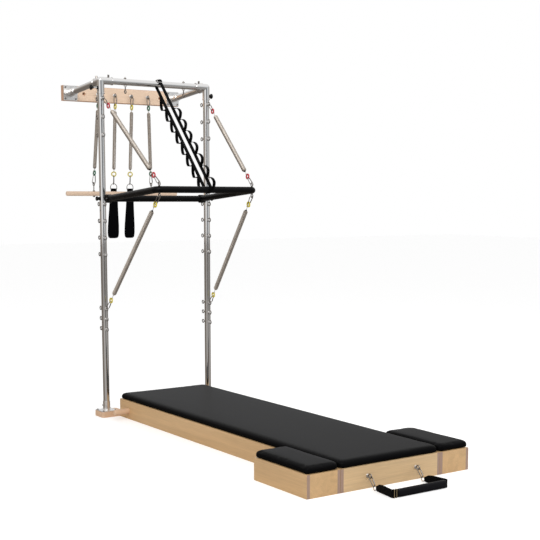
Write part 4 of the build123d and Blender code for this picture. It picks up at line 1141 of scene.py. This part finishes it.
class TOWER_OT_safety_strap(Maker):
    """Makes the daisy-chain strap from the top bar to the push-through bar"""
    bl_idname = "tower.safety_strap"
    bl_label = "Safety strap"

    def execute(self, context):
        width = sizes().strap_width
        thick, skew = 0.0022, 0.006
        x = middle("safety_strap")[0]
        top, low = np.array((x, POST_Y, TOP_Z)), np.array((x, BAR_Y, BAR_Z))
        way, run = unit(low - top), np.linalg.norm(low - top)
        front = np.cross(X, way)
        front = front if front[1] < 0 else -front
        lean = -0.013 / run
        big, small = POST_R + 0.0016, BAR_R + 0.0016
        tilt = math.degrees(math.asin((big - small) / run))
        over = arc(top, front, -way, big, 0 - tilt, 180 + tilt, 24)
        under = arc(low, -front, way, small, 0 + tilt, 180 - tilt, 20)
        line = evened(np.concatenate([over, under]), 0.012, closed=True)
        line[:, 0] += skew * np.clip(((line - top) @ front) / small, -1, 1)
        line[:, 0] += lean * np.clip((line - top) @ way, 0, run)
        shape = Shape()
        carry(shape, line, X, lozenge(width, thick, 0.0009, 3), closed=True)

        def tack_at(at, row, lift):
            """A place on the strap's rear (-1) or front (1) run, at a distance from the top bar."""
            radius = big + (small - big) * at / run + lift
            return top + way * at + front * row * radius + X * (skew * row + lean * at)

        for row, start, count, pitch, form in ((-1, 0.108, 8, DROOP_PITCH, DROOP),
                                               (1, 0.262, 7, EAR_PITCH, EAR)):
            for number in range(count):
                tack = tack_at(start + number * pitch, row, thick)
                sway = 0.0015 * math.sin(2.3 * number + row)
                spots = [tack + Y * y + Z * z + X * sway * (0 < k < 6) for k, (y, z) in enumerate(form)]
                path = np.concatenate([curve(*spots[:4], 12), curve(*spots[3:], 12)[1:]])
                band(shape, path, X * row, width * 0.88, thick * 0.9)
        for number in range(9):
            for row, at in ((-1, 0.108 + number * DROOP_PITCH), (1, 0.158 + number * EAR_PITCH)):
                if at <= run - 0.02:
                    half = X * width * 0.42
                    tack = tack_at(at, row, thick * 1.2)
                    carry(shape, np.stack([tack - half, tack + half]), way,
                          lozenge(0.007, 0.0012, 0.0004, 3))
        item = shape.make("safety_strap_webbing", use("webbing"), 50.0)
        finish_piece(("safety_strap",))
        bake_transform(item)
        # the strap's spare end, wound twice over the top bar and tucked in
        knot = Shape()
        for shift, lift in ((-0.003, 0.0036), (0.008, 0.0062)):
            wound = arc(top + X * shift, -Y, Z, big + lift, 38, 140, 12)
            carry(knot, wound, X, lozenge(0.019, 0.0100, 0.003, 4))
        settle(knot.make("strap_knot", use("webbing"), 50.0), ROOT, ())
        buckle = Shape()
        centre = top + front * (big + 0.004) - way * 0.004
        hoop = rounded_loop(centre, X, way, (0.0165, 0.012), 0.004, 5)
        carry(buckle, evened(hoop, 0.0025, closed=True), front, circle(0.0017, 8), closed=True)
        tongue = centre + way * np.linspace(-0.012, 0.013, 4)[:, None] + front * 0.001
        carry(buckle, tongue, front, circle(0.0014, 8))
        settle(buckle.make("strap_buckle", use("steel")), ROOT, ())
        return {"FINISHED"}


class TOWER_OT_foot_strap(Maker):
    """Makes the foot strap: hooks, rings, webbing arms, padded sleeve and sliders"""
    bl_idname = "tower.foot_strap"
    bl_label = "Foot strap"

    def execute(self, context):
        low, high = box("foot_strap")
        pad_low, pad_high = box("foot_strap_sleeve")
        middle_z, tall = (low[2] + high[2]) / 2, high[2] - low[2]
        front_y, thick = (pad_low[1] + pad_high[1]) / 2, (pad_high[1] - pad_low[1]) / 2
        corner_x = high[0] - 0.002
        bend = 0.012
        links, webbing = Shape(), Shape()
        for (_, side), sleeve_x in zip(SIDES, (pad_low[0], pad_high[0])):
            eye = np.array((side * STRAP_EYE_X, STRAP_EYE_Y, STRAP_EYE_Z))
            target = np.array((side * STRAP_EYE_X, MAT_FRONT_Y - 0.054, 0.020))
            way = unit(target - eye)
            near = eye + way * SEAT
            links.tint = 0
            snap_hook(links, near, way, X, np.linalg.norm(target - near), 0.0105, 0.0062)
            ring = target + way * (0.010 - HOOK_STOCK / 2 - LINK_GAP)
            links.tint = 1
            carry(links, ring_path(ring, X, 0.0122, 26), X, circle(0.0019, 9), closed=True)
            start = np.array((side * STRAP_EYE_X, ring[1] - 0.0115, middle_z - 0.006))
            corner = np.array((side * corner_x, front_y, middle_z))
            back = corner - unit(corner - start) * bend
            arm = curve(start, start + (corner - start) * 0.3, corner + (back - corner) * 3, back, 16)
            turned = curve(back, corner, corner, corner - X * side * bend, 8)[1:]
            sleeve_end = np.array((sleeve_x - side * 0.01, front_y, middle_z))
            rest = np.linspace(turned[-1], sleeve_end, 6)[1:]
            path = evened(np.concatenate([arm, turned, rest]), 0.005)
            run = distances(path)
            # gathered where it passes through the ring, full height within a few centimetres
            height = np.interp(run, [0, 0.006, 0.030, 0.055], [0.50, 0.62, 0.93, 1.0])
            path[:, 2] = np.maximum(path[:, 2], low[2] + 0.0004 + tall / 2 * height)
            webbing.tint = 0
            carry(webbing, path, Z, lozenge(tall, 0.0034, 0.0014, 4),
                  scale=np.stack([height, 1 + (1 - height) * 1.6], -1))
            carry(webbing, path[2:18] - X * side * 0.0036, Z, lozenge(tall * 0.97, 0.0030, 0.0012, 4),
                  scale=np.stack([height[2:18], np.ones(16)], -1))
            # two wire sliders round the left arm's webbing, next to the sleeve
            webbing.tint = 1
            for before in (0.020, 0.037) if side < 0 else ():
                spot = path[np.argmin(np.abs(run - (run[-1] - before)))]
                slider = rounded_loop(spot, Y, Z, (0.0058, tall / 2 + 0.0004), 0.0016, 4)
                carry(webbing, evened(slider, 0.003, closed=True), -X, circle(0.0013, 7), closed=True)
        settle(links.make("foot_strap_links", use("forged", "brass")), FOOT, ("foot_strap_hooks",))
        settle(webbing.make("foot_strap_webbing", use("webbing", "thread"), 50.0), FOOT,
               ("foot_strap",))
        sleeve = Shape()
        first, last = pad_low[0], pad_high[0]
        at = np.concatenate([[first, first + 0.002], np.linspace(first + 0.006, last - 0.006, 44),
                             [last - 0.002, last]])
        line = np.stack([at, np.full(len(at), front_y), np.full(len(at), middle_z)], -1)
        ends = np.interp(np.minimum(at - first, last - at), [0, 0.002, 0.012], [0.84, 0.94, 1.0])
        waves = 1 + 0.012 * np.sin(at * 2 * math.pi / 0.031 + 1.3 * np.sin(at * 37))
        carry(sleeve, line, Z, pillow(tall / 2, thick, 0.6, 0.8, 32),
              scale=np.stack([ends, ends * waves], -1))
        seam = line + Y * (thick * 0.98)
        carry(sleeve, seam[2:-2], Z, circle(0.0011, 6))
        item = sleeve.make("foot_strap_padding", use("sleeve"), 70.0)
        settle(item, FOOT, ("foot_strap_sleeve",))
        return {"FINISHED"}


class TOWER_OT_knobs(Maker):
    """Makes the pivot pins and the corner lock pins with their knobs"""
    bl_idname = "tower.knobs"
    bl_label = "Pins and knobs"

    def execute(self, context):
        collars = Shape()
        for name, side in SIDES:
            elbow_face = abs(edge(f"{name}_corner_elbow", 0, (1 + side) // 2))
            # each pin's knob width, rod radius and neck, and its collar's seat and height
            for kind, width, rod_r, neck, face, tall in (
                    ("pivot_pin", 0.030, 0.006, 0.0086, POST_X + POST_R, 0.0095),
                    ("lock_pin", 0.035, 0.005, 0.0048, elbow_face - 0.002, 0.003)):
                node = f"{name}_{kind}"
                inner, outer = box(node)[::side]
                _, y, z = middle(node)
                head = outer[0] - side * KNOB_TALL
                shape = Shape()
                shape.tint = 1
                rod_r -= 0.00005
                turn(shape, (inner[0], y, z), X * side,
                     [(rod_r - 0.00115, 0), (rod_r, 0.0015), (rod_r, abs(head - inner[0]))], 24)
                shape.tint = 0
                knob(shape, (head, y, z), X * side, width, neck)
                settle(shape.make(f"{node}_knob", use("plastic", "steel"), 30.0), node, (node,))
                turn(collars, (side * face, y, z), X * side,
                     [(0.0105, -0.003), (0.0112, 0.0008), (0.0105, tall - 0.001), (0.0085, tall)], 24)
        settle(collars.make("pin_collars", use("plastic"), 30.0), ROOT, ())
        return {"FINISHED"}


# ---- stage ------------------------------------------------------------------------------------
# the room that metal mirrors: (degrees round from -X, wall colour), and the ceiling above
WALLS = ((0, "#A0968C"), (6, "#A0968C"), (14, "#F8F8F8"), (58, "#F8F8F8"), (67, "#5A5F66"),
         (86, "#5A5F66"), (96, "#D0D3D5"), (150, "#D0D3D5"), (172, "#A39A91"), (218, "#A39A91"),
         (230, "#C4C4C6"), (246, "#C4C4C6"), (262, "#A0978E"), (300, "#A49B93"), (345, "#A39A91"),
         (360, "#A0968C"))
CEILING = "#FFFFFF"
MIRRORED_FLOOR = "#6E645A"


def wall_colour(tree, way):
    """The colour of the room's wall in a direction: its angle round from -X picks it from WALLS."""
    split = add_node(tree, "ShaderNodeSeparateXYZ", {"Vector": way})
    around = add_node(tree, "ShaderNodeMath", {0: split.outputs["Y"], 1: split.outputs["X"]},
                      operation="ARCTAN2").outputs[0]
    share = add_node(tree, "ShaderNodeMapRange", {"Value": around, "From Min": -math.pi,
                                                  "From Max": math.pi}).outputs["Result"]
    walls = add_node(tree, "ShaderNodeValToRGB", {"Fac": share})
    stops = walls.color_ramp.elements
    for stop, (degrees, code) in zip(stops, (WALLS[0], WALLS[-1])):
        stop.position = degrees / 360
        stop.color = opaque(code)
    for degrees, code in WALLS[1:-1]:
        stops.new(degrees / 360).color = opaque(code)
    return walls.outputs["Color"]


def opaque(code):
    """A #rrggbb colour as linear red, green, blue and a full alpha."""
    return srgb(code) + (1.0,)


def light_room(tree):
    """Soft even light. The background is white, and metal also sees the room's walls and ceiling."""
    ray = add_node(tree, "ShaderNodeLightPath")
    way = add_node(tree, "ShaderNodeTexCoord").outputs["Generated"]
    height = add_node(tree, "ShaderNodeSeparateXYZ", {"Vector": way}).outputs["Z"]
    high = add_node(tree, "ShaderNodeMapRange", {"Value": height, "From Min": 0.12,
                                                 "From Max": 0.5}).outputs["Result"]
    room = add_node(tree, "ShaderNodeMix", {0: high, 6: wall_colour(tree, way), 7: opaque(CEILING)},
                    data_type="RGBA").outputs[2]
    lit = add_node(tree, "ShaderNodeMix", {0: ray.outputs["Is Glossy Ray"], 6: (0.72, 0.72, 0.72, 1.0),
                                           7: room}, data_type="RGBA").outputs[2]
    plain = add_node(tree, "ShaderNodeMath", {0: ray.outputs["Is Camera Ray"],
                                              1: ray.outputs["Is Transmission Ray"]},
                     operation="MAXIMUM").outputs[0]
    seen = add_node(tree, "ShaderNodeMix", {0: plain, 6: lit, 7: opaque("#FFFFFF")}, data_type="RGBA")
    background = tree.nodes["Background"]
    tree.links.new(seen.outputs[2], background.inputs["Color"])
    background.inputs["Strength"].default_value = 1.0


def stage_floor():
    """Pale floor: white to the camera, with the object's soft shadow kept on it.

    Metal mirrors it as a browner floor, lit in sectors round the tower by the walls behind it.
    """
    made, tree, base = start_finish("pale_floor")
    base.inputs["Roughness"].default_value = 0.9
    base.inputs["Specular IOR Level"].default_value = 0.1
    ray = add_node(tree, "ShaderNodeLightPath")
    place = add_node(tree, "ShaderNodeTexCoord").outputs["Object"]
    from_tower = add_node(tree, "ShaderNodeMapping", {"Vector": place, "Location": (0.0, -POST_Y, 0.0)})
    sector = wall_colour(tree, from_tower.outputs["Vector"])
    brown = add_node(tree, "ShaderNodeMix", {0: 0.6, 6: sector, 7: opaque(MIRRORED_FLOOR)},
                     data_type="RGBA").outputs[2]
    shown = add_node(tree, "ShaderNodeMix", {0: ray.outputs["Is Glossy Ray"], 6: (0.86, 0.86, 0.86, 1.0),
                                             7: brown}, data_type="RGBA").outputs[2]
    tree.links.new(shown, base.inputs["Base Color"])
    glow = add_node(tree, "ShaderNodeEmission", {"Color": (1.0, 1.0, 1.0, 1.0), "Strength": 0.35})
    both = add_node(tree, "ShaderNodeAddShader", {0: base.outputs["BSDF"], 1: glow.outputs["Emission"]})
    mix = add_node(tree, "ShaderNodeMixShader", {0: ray.outputs["Is Camera Ray"], 1: base.outputs["BSDF"],
                                                 2: both.outputs["Shader"]})
    tree.links.new(mix.outputs["Shader"], tree.nodes["Material Output"].inputs["Surface"])
    return made


def lamp(name, place, power, mirrored=True):
    """A large soft square lamp that faces the tower."""
    light = bpy.data.lights.new(name, "AREA")
    light.energy = power
    light.size = 3.0
    item = bpy.data.objects.new(name, light)
    item.location = place
    way = np.array((0.0, 0.2, 0.8)) - np.asarray(place)
    flat = math.hypot(way[0], way[1])
    item.rotation_euler = (math.atan2(flat, -way[2]), 0.0, math.atan2(-way[0], way[1]))
    item.visible_glossy = mirrored
    bpy.context.scene.collection.objects.link(item)


class TOWER_OT_stage(Maker):
    """Makes the floor, the light and the camera"""
    bl_idname = "tower.stage"
    bl_label = "Stage"

    def execute(self, context):
        scene = context.scene
        scene.view_settings.view_transform = "Standard"
        half = 30.0
        floor_mesh = bpy.data.meshes.new("floor")
        floor_mesh.from_pydata([(-half, -half, 0), (half, -half, 0), (half, half, 0), (-half, half, 0)],
                               [], [(0, 1, 2, 3)])
        floor = bpy.data.objects.new("floor", floor_mesh)
        scene.collection.objects.link(floor)
        floor_mesh.materials.append(stage_floor())
        scene.world = bpy.data.worlds.new("studio")
        scene.world.use_nodes = True
        light_room(scene.world.node_tree)
        lamp("key", (-3.2, -4.2, 5.2), 150.0)
        lamp("fill", (4.2, -2.5, 3.4), 60.0, mirrored=False)
        camera = bpy.data.cameras.new("camera")
        camera.lens = 73.29
        camera.sensor_width = 36.0
        camera.shift_y = 0.1296
        camera.clip_end = 200.0
        eye = bpy.data.objects.new("camera", camera)
        eye.location = (-3.6056, -5.352, 1.4277)
        looks_down, turned_right = 0.1254, 0.6015
        eye.rotation_euler = (math.pi / 2 - looks_down, 0.0, -turned_right)
        scene.collection.objects.link(eye)
        scene.camera = eye
        return {"FINISHED"}


class TOWER_PT_panel(bpy.types.Panel):
    """Lists the tower's pieces in the sidebar"""
    bl_label = "Pilates tower"
    bl_idname = "TOWER_PT_panel"
    bl_space_type = "VIEW_3D"
    bl_region_type = "UI"
    bl_category = "Tower"

    def draw(self, context):
        for operator in OPERATORS:
            self.layout.operator(operator.bl_idname)
        for group in (context.scene.tower_sizes, context.scene.tower_colours):
            for name in group.__annotations__:
                self.layout.prop(group, name)


OPERATORS = (TOWER_OT_stage, TOWER_OT_finishes, TOWER_OT_mat_pads, TOWER_OT_eyebolts,
             TOWER_OT_arm_springs, TOWER_OT_wall_springs, TOWER_OT_hand_loops, TOWER_OT_safety_strap,
             TOWER_OT_foot_strap, TOWER_OT_knobs)
CLASSES = (TowerSizes, TowerColours) + OPERATORS + (TOWER_PT_panel,)


def register():
    for item in CLASSES:
        bpy.utils.register_class(item)
    bpy.types.Scene.tower_sizes = bpy.props.PointerProperty(type=TowerSizes)
    bpy.types.Scene.tower_colours = bpy.props.PointerProperty(type=TowerColours)


def unregister():
    del bpy.types.Scene.tower_sizes
    del bpy.types.Scene.tower_colours
    for item in reversed(CLASSES):
        bpy.utils.unregister_class(item)


def main():
    """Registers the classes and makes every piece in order."""
    register()
    for step in OPERATORS:
        group, name = step.bl_idname.split(".")
        getattr(getattr(bpy.ops, group), name)()


if __name__ == "__main__":
    main()
